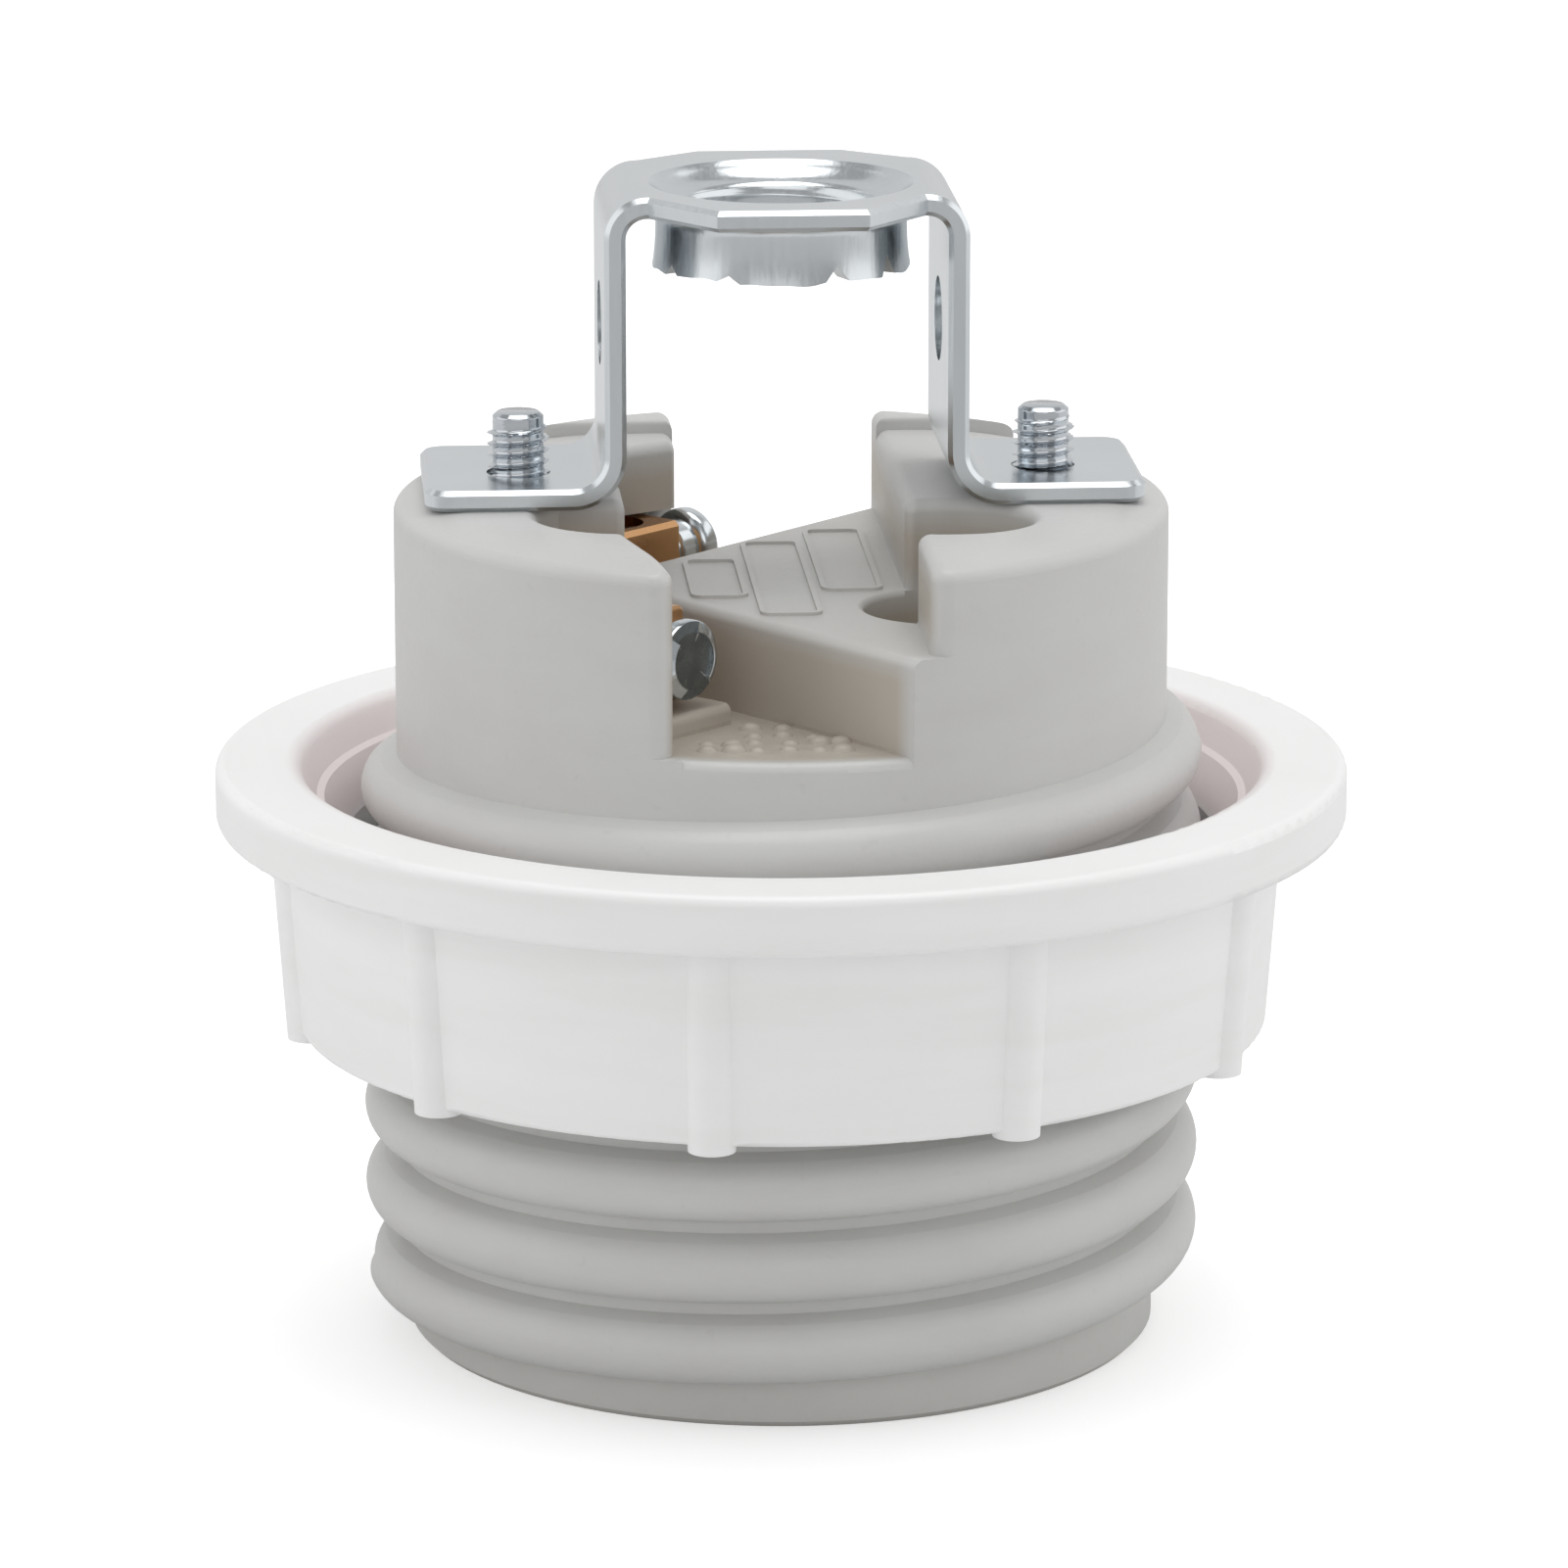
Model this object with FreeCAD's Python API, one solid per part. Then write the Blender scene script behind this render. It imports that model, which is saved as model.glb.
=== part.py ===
import FreeCAD, Part

import math
import os

# Lamp holder for an E27 screw cap: a moulded insulating body with a coarse outside thread,
# a screw-on shade ring, a bent steel bracket with a threaded cable entry, two brass
# clamp terminals, and the screwed shell and sprung contact inside the socket.
# Millimetres. The origin is the centre of the open lower rim. X runs along the bracket's
# feet, -Y is the front notch and +Z points to the cable entry.

V = FreeCAD.Vector
UP = V(0, 0, 1)
ORIGIN = V(0, 0, 0)
past = 1.0                   # how far a cutting tool reaches beyond a face
sunk = 0.1                   # how far a joined piece is rooted in what carries it

# Body, outside
dome_r = 18.3                # plain upper cylinder, also the root of the outside thread
plan = dome_r / 18.3         # the plan of the top and its well grows with the dome
rim_end_r = dome_r - 0.4     # plain lower end
rim_end_height = 2.9
rim_bevel = 0.3
seat_z = 40.6                # plateau that carries the bracket's feet
dome_band_width = 3.0 * plan # soft outer band that falls from the plateau to the edge
dome_band_drop = 0.5 * plan
lip_rise = 0.65              # step behind the bracket
lip_front_y = 13.5 * plan

# Outside thread of the body
thread_r = dome_r + 1.7
thread_pitch = 3.9
thread_crest_width = 2.8     # where the rounded crown begins
thread_base_width = 3.86     # measured where the ridge is rooted, inside the core
thread_crown = 0.9           # height of the rounded crest
thread_start_angle = -208.0  # seen from above, 0 is +X
thread_start_z = 2.76        # middle of the crest at the start
thread_turns = 6.65
thread_fade_angle = 34.0     # arc over which the crest dies into the core
thread_sink = 0.7
thread_margin = 0.02         # by which the fading tool clears the full crest

# Socket
mouth_r = 15.3
mouth_depth = 6.0
mouth_chamfer = 0.5
socket_r = 14.2
socket_ceiling_z = 24.5
socket_cone = 1.1

# Terminal well in the top of the body
bar_z = 36.3                 # top of the central bar
well_floor_z = 31.7          # floor of both terminal pockets and of the front notch
well_right_x = 5.6 * plan
notch_front_left_x = -5.7 * plan
notch_rear_left_x = -4.4 * plan
rear_wall_y = 11.6 * plan    # inner face of the rear left wall
pillar_x = -7.5 * plan       # inner face of the pillar under the left foot
pillar_half_y = 2.2 * plan
alcove_x = -7.6 * plan       # round alcove beside the pillar
alcove_y = 5.0 * plan
alcove_r = 4.1 * plan
diagonal_x = -7.7 * plan     # start of the slanted front edge of the well
diagonal_y = 9.6 * plan
bar_front_angle = 52.5       # slope of the bar's sides, from the X axis
bar_rear_angle = 46.6
bar_front_y = 1.6 * plan
bar_rear_y = 2.2 * plan

# Rounded edges of the body
top_round = 0.6 * plan
mouth_round = 0.8 * plan     # upright corners where the notches open
wall_round = 0.4 * plan      # upright corners inside the well
bar_round = 0.5
floor_round = 0.45           # outer edge of the notches' floor
channel_round = 0.3
lip_round = 0.3

# Wire channel beside the bar
channel_left_x = 3.4 * plan
channel_right_x = 11.3 * plan
channel_y = -6.6 * plan
channel_width = 7.2 * plan

# Raised fields on the bar
field_rise = 0.15
field_border = 0.25
field_corner = 0.6
field_rows = ((-4.5, 2.7, -4.3, 8.1), (-1.5, 2.9, -8.2, 15.8), (1.7, 2.9, -3.2, 13.4))

# Terminals, two alike, mirrored front and rear
terminal_x = -5.7            # middle of the block's end face
terminal_y = 11.06
terminal_turn = 45.0         # direction in which the clamp screw points, from the X axis
block_length = 7.4
block_width = 4.4
block_bottom_z = 32.7
block_height = 4.4
block_edge = 0.25
block_play = 0.15
ledge_reach = 1.4
ledge_round = 0.4
wire_hole_r = 1.5
wire_hole_back = 2.6
wire_hole_floor = 0.7
clamp_axis_z = 35.1
clamp_r = 1.5
clamp_fit = 0.05
clamp_head_r = 1.87
clamp_head_height = 1.2
clamp_head_round = 0.5
clamp_gap_front = 0.1        # head off the block: nearly home in front, backed off behind
clamp_gap_rear = 2.1
clamp_room = 0.3
clamp_length = 4.0           # under the head
clamp_drill = 4.35           # depth of the tapped hole, past the far side of the wire hole
clamp_slot_turn = 35.0
slot_width = 0.8
slot_depth = 0.7
block_screw_back = 5.9
block_screw_r = 1.3
block_screw_head_r = 2.2
block_screw_head_height = 1.4
block_screw_grip = 1.9       # length screwed into the block
block_screw_spare = 0.4      # thread in the block beyond the screw's end
block_screw_turn = 20.0
inner_screw_edge = 0.25
inner_slot_width = 0.6

# Contact strips in grooves of the socket's ceiling
strip_thickness = 0.6
strip_width = 4.0
strip_play = 0.4
strip_z = 27.4               # underside of both strips at the terminals
neutral_step_share = 0.55    # where the rear strip steps down, along its way to the shell

# Screwed shell
shell_r = 13.3
shell_wall = 0.4
shell_end_z = 6.8
shell_base_hole_r = 6.0
shell_lip = 0.5
shell_bend = 0.6
shell_hole_play = 0.1
shell_screw_y = 8.2
shell_screw_r = 1.1
shell_screw_head_r = 1.9
shell_screw_head_height = 1.2
shell_screw_top_z = 31.0
shell_screw_spare = 0.3
shell_screw_turn = 65.0

# Sprung centre contact
contact_r = 3.5
contact_tip_z = 20.6
contact_rim = 0.7
contact_dome = 1.1
contact_stem_r = 1.8
contact_stop_r = 2.4
contact_stop_height = 0.6
contact_play = 0.1
contact_recess_r = 4.2
contact_bore_r = 3.0
contact_bore_top_z = 31.6
spring_r = 2.7
spring_wire_r = 0.25
spring_turns = 5.0

# Bracket
steel = 1.0
bracket_width = 11.0
bracket_y = 1.0              # middle of the strip
bracket_out_x = 8.5
bracket_top_z = 55.3
bend_top_r = 2.0             # outer radius of the two upper bends
bend_foot_r = 2.5            # outer radius of the two foot bends
foot_end_x = 16.9
foot_corner_r = 1.2
steel_edge = 0.22
plate_front_y = -8.4
plate_rear_y = 8.9
plate_facet_x = 3.5
plate_neck_x = 6.5
collar_r = 5.9
collar_bore_r = 4.6
collar_mouth_r = 6.1
collar_drop = 2.9
collar_root = 0.8            # hollow between the collar and the plate
collar_notches = ((-152.0, 0.5, 0.5), (-118.0, 0.6, 0.4), (-68.0, 0.6, 0.8),
                  (-38.0, 0.5, 1.0), (20.0, 0.5, 0.5), (75.0, 0.7, 0.4), (140.0, 0.5, 0.55))
leg_hole_r = 2.0
leg_hole_z = 48.5

# Bracket screws and their washers
bracket_screw_x = 12.4
bracket_screw_r = 1.5
bracket_screw_gap = 0.2
bracket_screw_out = 2.9      # length that stands up above the foot
bracket_screw_tip = 0.45
bracket_head_r = 2.75
bracket_head_height = 1.9
bracket_head_edge = 0.5
bracket_head_z = 28.6        # seat of the washer in the body
washer_r = 3.0
washer_thickness = 0.5
screw_channel_r = 3.4
cross_width = 0.9
cross_length = 3.2
cross_depth = 0.9

# Shade ring
ring_bore_r = thread_r + 0.7
ring_skirt_end_r = ring_bore_r + 2.5
ring_skirt_top_r = ring_skirt_end_r + 0.7
ring_bowl_r = ring_skirt_top_r - 0.9
ring_flange_r = ring_bowl_r + 3.9
ring_flange_bottom_z = 24.9
ring_flange_top_z = 27.75
ring_flange_round = 0.5
ring_lip_round = 0.8         # inner edge of the flange, round the bowl
ring_end_round = 0.3
ring_end_z = 15.1
ring_bowl_steps = ((0.0, 0.0), (-0.9, 1.6), (-1.25, 1.75), (-2.1, 3.4))  # outward and down
ring_bore_bevel = 0.4
ring_rib_count = 10
ring_rib_width = 2.2
ring_rib_proud = 0.6
ring_rib_below = 0.3
ring_rib_angle = -101.9
ring_thread_r = thread_r - 0.6   # crest of the inside thread
ring_thread_tip = 0.6
ring_thread_base = 1.3
ring_thread_turns = 1.5
ring_thread_z = 14.0         # lowest turn of the inside thread starts above this height
ring_thread_rest = 0.1       # gap above the body's thread on which the ring hangs


def cylinder(radius, z0, z1, x=0.0, y=0.0):
    return Part.makeCylinder(radius, z1 - z0, V(x, y, z0), UP)


def box(x0, x1, y0, y1, z0, z1):
    return Part.makeBox(x1 - x0, y1 - y0, z1 - z0, V(x0, y0, z0))


def prism(points, z0, z1):
    """A straight-sided prism on a closed plan outline."""
    corners = [V(x, y, z0) for x, y in points]
    corners.append(corners[0])
    face = Part.Face(Part.makePolygon(corners))
    return face.extrude(V(0, 0, z1 - z0))


def turned(points):
    """A solid of revolution about Z from (radius, height) corners."""
    corners = [V(r, 0, z) for r, z in points]
    corners.append(corners[0])
    face = Part.Face(Part.makePolygon(corners))
    return face.revolve(ORIGIN, UP, 360)


def capsule(x0, y0, x1, y1, width, z0, z1):
    """A bar with round ends between two plan points."""
    length = math.hypot(x1 - x0, y1 - y0)
    turn = math.degrees(math.atan2(y1 - y0, x1 - x0))
    bar = Part.makeBox(length, width, z1 - z0, V(0, -width / 2, z0))
    bar = bar.fuse(cylinder(width / 2, z0, z1)).fuse(cylinder(width / 2, z0, z1, length))
    bar = bar.removeSplitter()
    bar.rotate(ORIGIN, UP, turn)
    bar.translate(V(x0, y0, 0))
    return bar


def crown_middle(width, drop):
    """Point halfway along an arc that starts level and falls by a drop over a width."""
    radius = (width ** 2 + drop ** 2) / (2 * drop)
    turn = math.asin(width / radius) / 2
    return radius * math.sin(turn), radius * (1 - math.cos(turn))


def helix_ridge(root_r, crest_r, base_width, tip_width, crown, start_z, start_angle, turns):
    """A ridge that climbs round Z as a right-hand thread, outside or inside a wall."""
    helix = Part.makeLongHelix(thread_pitch, thread_pitch * turns, root_r, 0)
    outward = 1.0 if crest_r > root_r else -1.0
    shoulder_r = crest_r - outward * crown
    base, tip = base_width / 2, tip_width / 2
    low, high = V(root_r, 0, -base), V(root_r, 0, base)
    under, over = V(shoulder_r, 0, -tip), V(shoulder_r, 0, tip)
    edges = [Part.LineSegment(high, low).toShape(), Part.LineSegment(low, under).toShape()]
    if crown > 0:
        edges.append(Part.Arc(under, V(crest_r, 0, 0), over).toShape())
    else:
        edges.append(Part.LineSegment(under, over).toShape())
    edges.append(Part.LineSegment(over, high).toShape())
    ridge = Part.Wire(helix).makePipeShell([Part.Wire(edges)], True, True)
    ridge.rotate(ORIGIN, UP, start_angle)
    ridge.translate(V(0, 0, start_z))
    return ridge


def thread_height(angle):
    """Height of the body's crest at an angle, for the turn that starts the thread."""
    return thread_start_z + thread_pitch * (angle - thread_start_angle) / 360


def crown_half_width(radius):
    """Half the width of the body's ridge at a radius, within its rounded crown."""
    half = thread_crest_width / 2
    crown_r = (half ** 2 + thread_crown ** 2) / (2 * thread_crown)
    return math.sqrt(crown_r ** 2 - (radius - thread_r + crown_r) ** 2)


def fade_cut(angle, z, direction):
    """Removes the crest near a thread's end, more and more towards that end."""
    reach = thread_r - dome_r
    shift = reach / math.sin(math.radians(thread_fade_angle))
    tool = cylinder(thread_r + past, z - thread_pitch / 2, z + thread_pitch / 2)
    keeper = cylinder(thread_r + thread_margin, z - thread_pitch, z + thread_pitch)
    side = math.radians(angle + direction * (90 + thread_fade_angle))
    keeper.translate(V(shift * math.cos(side), shift * math.sin(side), 0))
    sector = Part.makeCylinder(thread_r + 2 * past, thread_pitch, V(0, 0, z - thread_pitch / 2),
                               UP, thread_fade_angle)
    first = angle if direction > 0 else angle - thread_fade_angle
    sector.rotate(ORIGIN, UP, first)
    return tool.common(sector).cut(keeper)


def body_core(top_z):
    """The turned outside of the body, without its thread; the plateau rolls off to the edge."""
    flat_r = dome_r - dome_band_width
    out, down = crown_middle(dome_band_width, dome_band_drop)
    roll_middle = V(flat_r + out, 0, top_z - down)
    corners = [V(0, 0, top_z), ORIGIN, V(rim_end_r - rim_bevel, 0, 0), V(rim_end_r, 0, rim_bevel),
               V(rim_end_r, 0, rim_end_height),
               V(dome_r, 0, rim_end_height + dome_r - rim_end_r),
               V(dome_r, 0, top_z - dome_band_drop)]
    edges = [Part.LineSegment(a, b).toShape() for a, b in zip(corners, corners[1:])]
    edges.append(Part.Arc(corners[-1], roll_middle, V(flat_r, 0, top_z)).toShape())
    edges.append(Part.LineSegment(V(flat_r, 0, top_z), corners[0]).toShape())
    return Part.Face(Part.Wire(edges)).revolve(ORIGIN, UP, 360)


def on_dome(x, side):
    """Plan point of the dome's outside at an X, in front (-1) or behind (1)."""
    return x, side * math.sqrt(dome_r ** 2 - x ** 2)


def well_outline():
    """Plan of the terminal well: both notches, the pillar and the slanted wall."""
    out = 2 * dome_r
    mouth_x, mouth_y = on_dome(notch_front_left_x, -1)
    slant = (mouth_x - diagonal_x) / (mouth_y + diagonal_y)
    slant_end_x = mouth_x - slant * (out + mouth_y)
    return [(well_right_x, -out), (well_right_x, out), (notch_rear_left_x, out),
            (notch_rear_left_x, rear_wall_y), (diagonal_x, diagonal_y), (diagonal_x, pillar_half_y),
            (pillar_x, pillar_half_y), (pillar_x, -pillar_half_y), (diagonal_x, -pillar_half_y),
            (diagonal_x, -diagonal_y), (slant_end_x, -out)]


def alcove(side, z0, z1):
    """The round alcove in which a terminal block sits, beside the pillar."""
    disc = cylinder(alcove_r, z0, z1, alcove_x, side * alcove_y)
    near, far = sorted((side * pillar_half_y, side * dome_r))
    return disc.common(box(-dome_r, 0, near, far, z0, z1))


def well(z0, z1):
    outline = prism(well_outline(), z0, z1)
    return outline.fuse(alcove(-1, z0, z1)).fuse(alcove(1, z0, z1))


def bar_outline():
    """The wedge-shaped bar between the two pockets, wide at the right."""
    out = 2 * dome_r
    run = out - pillar_x
    front = bar_front_y + run * math.tan(math.radians(bar_front_angle))
    rear = bar_rear_y + run * math.tan(math.radians(bar_rear_angle))
    back_x = pillar_x - alcove_r
    return [(out, -front), (out, rear), (pillar_x, bar_rear_y), (back_x, bar_rear_y),
            (back_x, -bar_front_y), (pillar_x, -bar_front_y)]


def terminal_frame(side):
    """Places a shape made along +X, with the block's end face at the origin."""
    return FreeCAD.Placement(V(terminal_x, side * terminal_y, 0),
                             FreeCAD.Rotation(UP, side * terminal_turn))


def at_terminal(shape, side):
    shape.Placement = terminal_frame(side).multiply(shape.Placement)
    return shape


def terminal_point(side, back):
    """Plan position on a terminal's centre line, some way behind its end face."""
    turn = math.radians(side * terminal_turn)
    return terminal_x - back * math.cos(turn), side * terminal_y - back * math.sin(turn)


def block_room(side):
    """Space that the block needs in the body, from its ledge to just above its top."""
    half = block_width / 2 + block_play
    room = box(-block_length - block_play, ledge_reach, -half, half,
               block_bottom_z, block_bottom_z + block_height + block_play)
    head = Part.makeCylinder(clamp_head_r + clamp_room, 2 * block_length, V(0, 0, clamp_axis_z),
                             V(1, 0, 0))
    return at_terminal(room.fuse(head), side)


def ledge(side):
    half = block_width / 2 + block_play
    step = box(-block_length, ledge_reach, -half, half, well_floor_z - sunk, block_bottom_z)
    front = [edge for edge in step.Edges
             if edge.BoundBox.XMin > -sunk and edge.BoundBox.ZMin > well_floor_z]
    return at_terminal(step.makeFillet(ledge_round, front), side)


def strip_groove(side):
    """Groove in the socket's ceiling for a contact strip and its screw head."""
    x, y = terminal_point(side, block_screw_back)
    width = strip_width + 2 * strip_play
    top = strip_z + strip_thickness
    low = socket_ceiling_z - past
    head = cylinder(block_screw_head_r + 2 * strip_play, low, top, x, y)
    if side < 0:
        return capsule(x, y, 0, 0, width, low, top).fuse(head)
    step_x, step_y = neutral_step()
    deep = capsule(x, y, step_x, step_y, width, low, top)
    shallow = capsule(step_x, step_y, 0, shell_screw_y, width, low,
                      socket_ceiling_z + strip_thickness)
    return deep.fuse(shallow).fuse(head)


def neutral_step():
    """Where the rear strip steps down to the shell's base."""
    x, y = terminal_point(1, block_screw_back)
    share = neutral_step_share
    return x * (1 - share), y + (shell_screw_y - y) * share


def wire_channel(z0, z1):
    half = channel_width / 2
    return capsule(channel_left_x + half, channel_y, channel_right_x - half, channel_y,
                   channel_width, z0, z1)


def upright_edges(shape, points):
    """Upright edges of a shape that stand at some plan points."""
    found = []
    for edge in shape.Edges:
        bounds = edge.BoundBox
        upright = bounds.XLength + bounds.YLength < 0.01
        for x, y in points:
            if upright and math.hypot(bounds.Center.x - x, bounds.Center.y - y) < 0.02:
                found.append(edge)
    return found


def top_edges(shape, low_z):
    """Edges round the top of a shape: those with a top face on one side only."""
    found = []
    for face in shape.Faces:
        if face.BoundBox.ZMin > low_z:
            found += [edge for edge in face.Edges if not edge.isSeam(face)]
    return [edge for edge in found if sum(edge.isSame(other) for other in found) == 1]


def moulded_top(top_z):
    """Core of the body with its well, notches and wire channel, and their rounded edges."""
    above = top_z + past
    bar = prism(bar_outline(), well_floor_z - past, bar_z)
    shape = body_core(top_z).cut(well(bar_z, above)).cut(well(well_floor_z, bar_z).cut(bar))
    shape = shape.cut(wire_channel(well_floor_z, above)).removeSplitter()

    mouths = [on_dome(well_right_x, -1), on_dome(well_right_x, 1), on_dome(notch_rear_left_x, 1),
              on_dome(notch_front_left_x, -1)]
    shape = shape.makeFillet(mouth_round, upright_edges(shape, mouths))
    half = channel_width / 2
    reach = math.sqrt(half ** 2 - (channel_left_x + half - well_right_x) ** 2)
    alcove_reach = alcove_y + math.sqrt(alcove_r ** 2 - (alcove_x - diagonal_x) ** 2)
    corners = [(notch_rear_left_x, rear_wall_y), (pillar_x, -pillar_half_y),
               (well_right_x, channel_y - reach), (well_right_x, channel_y + reach),
               (diagonal_x, alcove_reach), (diagonal_x, -alcove_reach)]
    for corner in corners:
        shape = shape.makeFillet(wall_round, upright_edges(shape, [corner]))
    return shape.makeFillet(top_round, top_edges(shape, top_z - dome_band_drop - sunk))


def straight_rounding(x, y, z, turn, radius):
    """Tool that rounds a level edge from a point on; the material is on the edge's right."""
    length = 3 * dome_r
    tool = box(0, length, -radius, sunk, -radius, sunk)
    tool = tool.cut(Part.makeCylinder(radius, length, V(0, -radius, -radius), V(1, 0, 0)))
    tool.rotate(ORIGIN, UP, turn)
    tool.translate(V(x, y, z))
    return tool


def round_rounding(edge_r, z, radius, outward, x=0.0, y=0.0):
    """Tool that rounds a level round edge of a post (outward 1) or of a hole (outward -1)."""
    inner = edge_r - outward * radius
    low, high = sorted((inner, edge_r + outward * sunk))
    top = z + sunk
    tool = cylinder(high, z - radius, top, x, y).cut(cylinder(low, z - radius, top, x, y))
    return tool.cut(Part.makeTorus(inner, radius, V(x, y, z - radius), UP))


def well_roundings():
    """Tools for the level edges in the well: bar, notch floors and the channel's mouth."""
    length = 2 * dome_r
    turn = math.radians(bar_front_angle)
    front_x = pillar_x + length * math.cos(turn)
    front_y = -bar_front_y - length * math.sin(turn)
    front = straight_rounding(front_x, front_y, bar_z, 180 - bar_front_angle, bar_round)
    rear = straight_rounding(pillar_x, bar_rear_y, bar_z, bar_rear_angle, bar_round)
    rim = round_rounding(channel_width / 2, bar_z, channel_round, -1,
                         channel_left_x + channel_width / 2, channel_y)
    floor = round_rounding(dome_r, well_floor_z, floor_round, 1)
    tools = front.fuse(rear).fuse(rim).fuse(floor)
    return tools.common(well(well_floor_z - past, bar_z + past))


def bar_fields():
    """Low raised borders of the three bare fields on the bar."""
    frames = []
    for left, width, front, length in field_rows:
        border = field_border
        frame = box(left, left + width, front, front + length, bar_z - sunk, bar_z + field_rise)
        inner = box(left + border, left + width - border, front + border,
                    front + length - border, bar_z - past, bar_z + past)
        frame = frame.makeFillet(field_corner, [e for e in frame.Edges if e.BoundBox.ZLength > sunk])
        corner = field_corner - border
        inner = inner.makeFillet(corner, [e for e in inner.Edges if e.BoundBox.ZLength > sunk])
        frames.append(frame.cut(inner))
    return frames


def socket():
    """The room for the lamp's cap, with the channels for the bracket screws."""
    cone_z = mouth_depth + socket_cone
    shape = turned([(0, -past), (mouth_r + mouth_chamfer, -past), (mouth_r + mouth_chamfer, 0),
                    (mouth_r, mouth_chamfer), (mouth_r, mouth_depth), (socket_r, cone_z),
                    (socket_r, socket_ceiling_z), (0, socket_ceiling_z)])
    for side in (-1, 1):
        x = side * bracket_screw_x
        shape = shape.fuse(cylinder(screw_channel_r, -past, bracket_head_z, x))
    return shape


def body():
    lip_z = seat_z + lip_rise
    behind = box(-2 * dome_r, 2 * dome_r, lip_front_y, 2 * dome_r, socket_ceiling_z, lip_z)
    step = [edge for edge in behind.Edges
            if edge.BoundBox.ZMin > socket_ceiling_z and edge.BoundBox.YMax < 2 * lip_front_y]
    behind = behind.makeFillet(lip_round, step)
    shape = moulded_top(seat_z).fuse(moulded_top(lip_z).common(behind))
    shape = shape.cut(well_roundings())
    for side in (-1, 1):
        shape = shape.fuse(ledge(side)).cut(block_room(side))
    for frame in bar_fields():
        shape = shape.fuse(frame)
    shape = shape.cut(socket())

    # Holes for the screws, grooves for the strips and the room of the centre contact
    low = socket_ceiling_z - past
    shape = shape.cut(cylinder(contact_recess_r, low, strip_z + strip_thickness))
    shape = shape.cut(cylinder(contact_bore_r, socket_ceiling_z, contact_bore_top_z))
    for side in (-1, 1):
        x, y = terminal_point(side, block_screw_back)
        hole_r = bracket_screw_r + bracket_screw_gap
        shape = shape.cut(cylinder(hole_r, bracket_head_z - past, lip_z, side * bracket_screw_x))
        shape = shape.cut(strip_groove(side))
        hole_r = block_screw_r + clamp_fit
        shape = shape.cut(cylinder(hole_r, strip_z, block_bottom_z + past, x, y))
        shape = shape.cut(cylinder(shell_screw_r, low, shell_screw_top_z, 0, side * shell_screw_y))

    ridge = helix_ridge(dome_r - thread_sink, thread_r, thread_base_width, thread_crest_width,
                        thread_crown, thread_start_z, thread_start_angle, thread_turns)
    end_angle = thread_start_angle + 360 * thread_turns
    ridge = ridge.cut(fade_cut(thread_start_angle, thread_start_z, 1))
    ridge = ridge.cut(fade_cut(end_angle, thread_height(end_angle), -1))
    return shape.fuse(ridge)


def round_edges(shape, places):
    """Edges of a turned shape that run round Z at some radii and heights."""
    found = []
    for edge in shape.Edges:
        bounds = edge.BoundBox
        for radius, z in places:
            level = bounds.ZLength < sunk and abs(bounds.Center.z - z) < sunk
            if level and abs(bounds.XMax - radius) < sunk and bounds.YLength > radius:
                found.append(edge)
    return found


def ring_rib():
    """One grip rib at +X, leaning with the skirt and rounded below it."""
    rib_r = ring_rib_width / 2
    lean = ring_skirt_top_r - ring_skirt_end_r
    height = ring_flange_bottom_z - ring_end_z + ring_rib_below
    foot = V(ring_skirt_end_r + ring_rib_proud - rib_r, 0, ring_end_z - ring_rib_below)
    along = V(lean, 0, height)
    rib = Part.makeCylinder(rib_r, along.Length + sunk, foot, along).fuse(Part.makeSphere(rib_r, foot))
    return rib.common(box(ring_bore_r, ring_flange_r, -rib_r, rib_r, foot.z,
                          ring_flange_bottom_z + sunk))


def shade_ring():
    low, high = ring_flange_bottom_z, ring_flange_top_z
    points = [(ring_bore_r, ring_end_z), (ring_skirt_end_r, ring_end_z), (ring_skirt_top_r, low),
              (ring_flange_r, low), (ring_flange_r, high)]
    points += [(ring_bowl_r + out, high - down) for out, down in ring_bowl_steps]
    points.append((ring_bore_r, points[-1][1] - ring_bore_bevel))
    shape = turned(points)
    flange = round_edges(shape, ((ring_flange_r, low), (ring_flange_r, high)))
    shape = shape.makeFillet(ring_flange_round, flange)
    shape = shape.makeFillet(ring_lip_round, round_edges(shape, ((ring_bowl_r, high),)))
    shape = shape.makeFillet(ring_end_round, round_edges(shape, ((ring_skirt_end_r, ring_end_z),)))
    for index in range(ring_rib_count):
        rib = ring_rib()
        rib.rotate(ORIGIN, UP, ring_rib_angle + index * 360 / ring_rib_count)
        shape = shape.fuse(rib)

    # Inside thread, resting on the turn of the body's thread below it
    turns_up = math.ceil((ring_thread_z - thread_start_z) / thread_pitch)
    body_crest = thread_start_z + turns_up * thread_pitch
    start_z = (body_crest + crown_half_width(ring_thread_r) + ring_thread_rest
               + ring_thread_tip / 2)
    ridge = helix_ridge(ring_bore_r + thread_sink, ring_thread_r, ring_thread_base,
                        ring_thread_tip, 0, start_z, thread_start_angle, ring_thread_turns)
    return shape.fuse(ridge)


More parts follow.
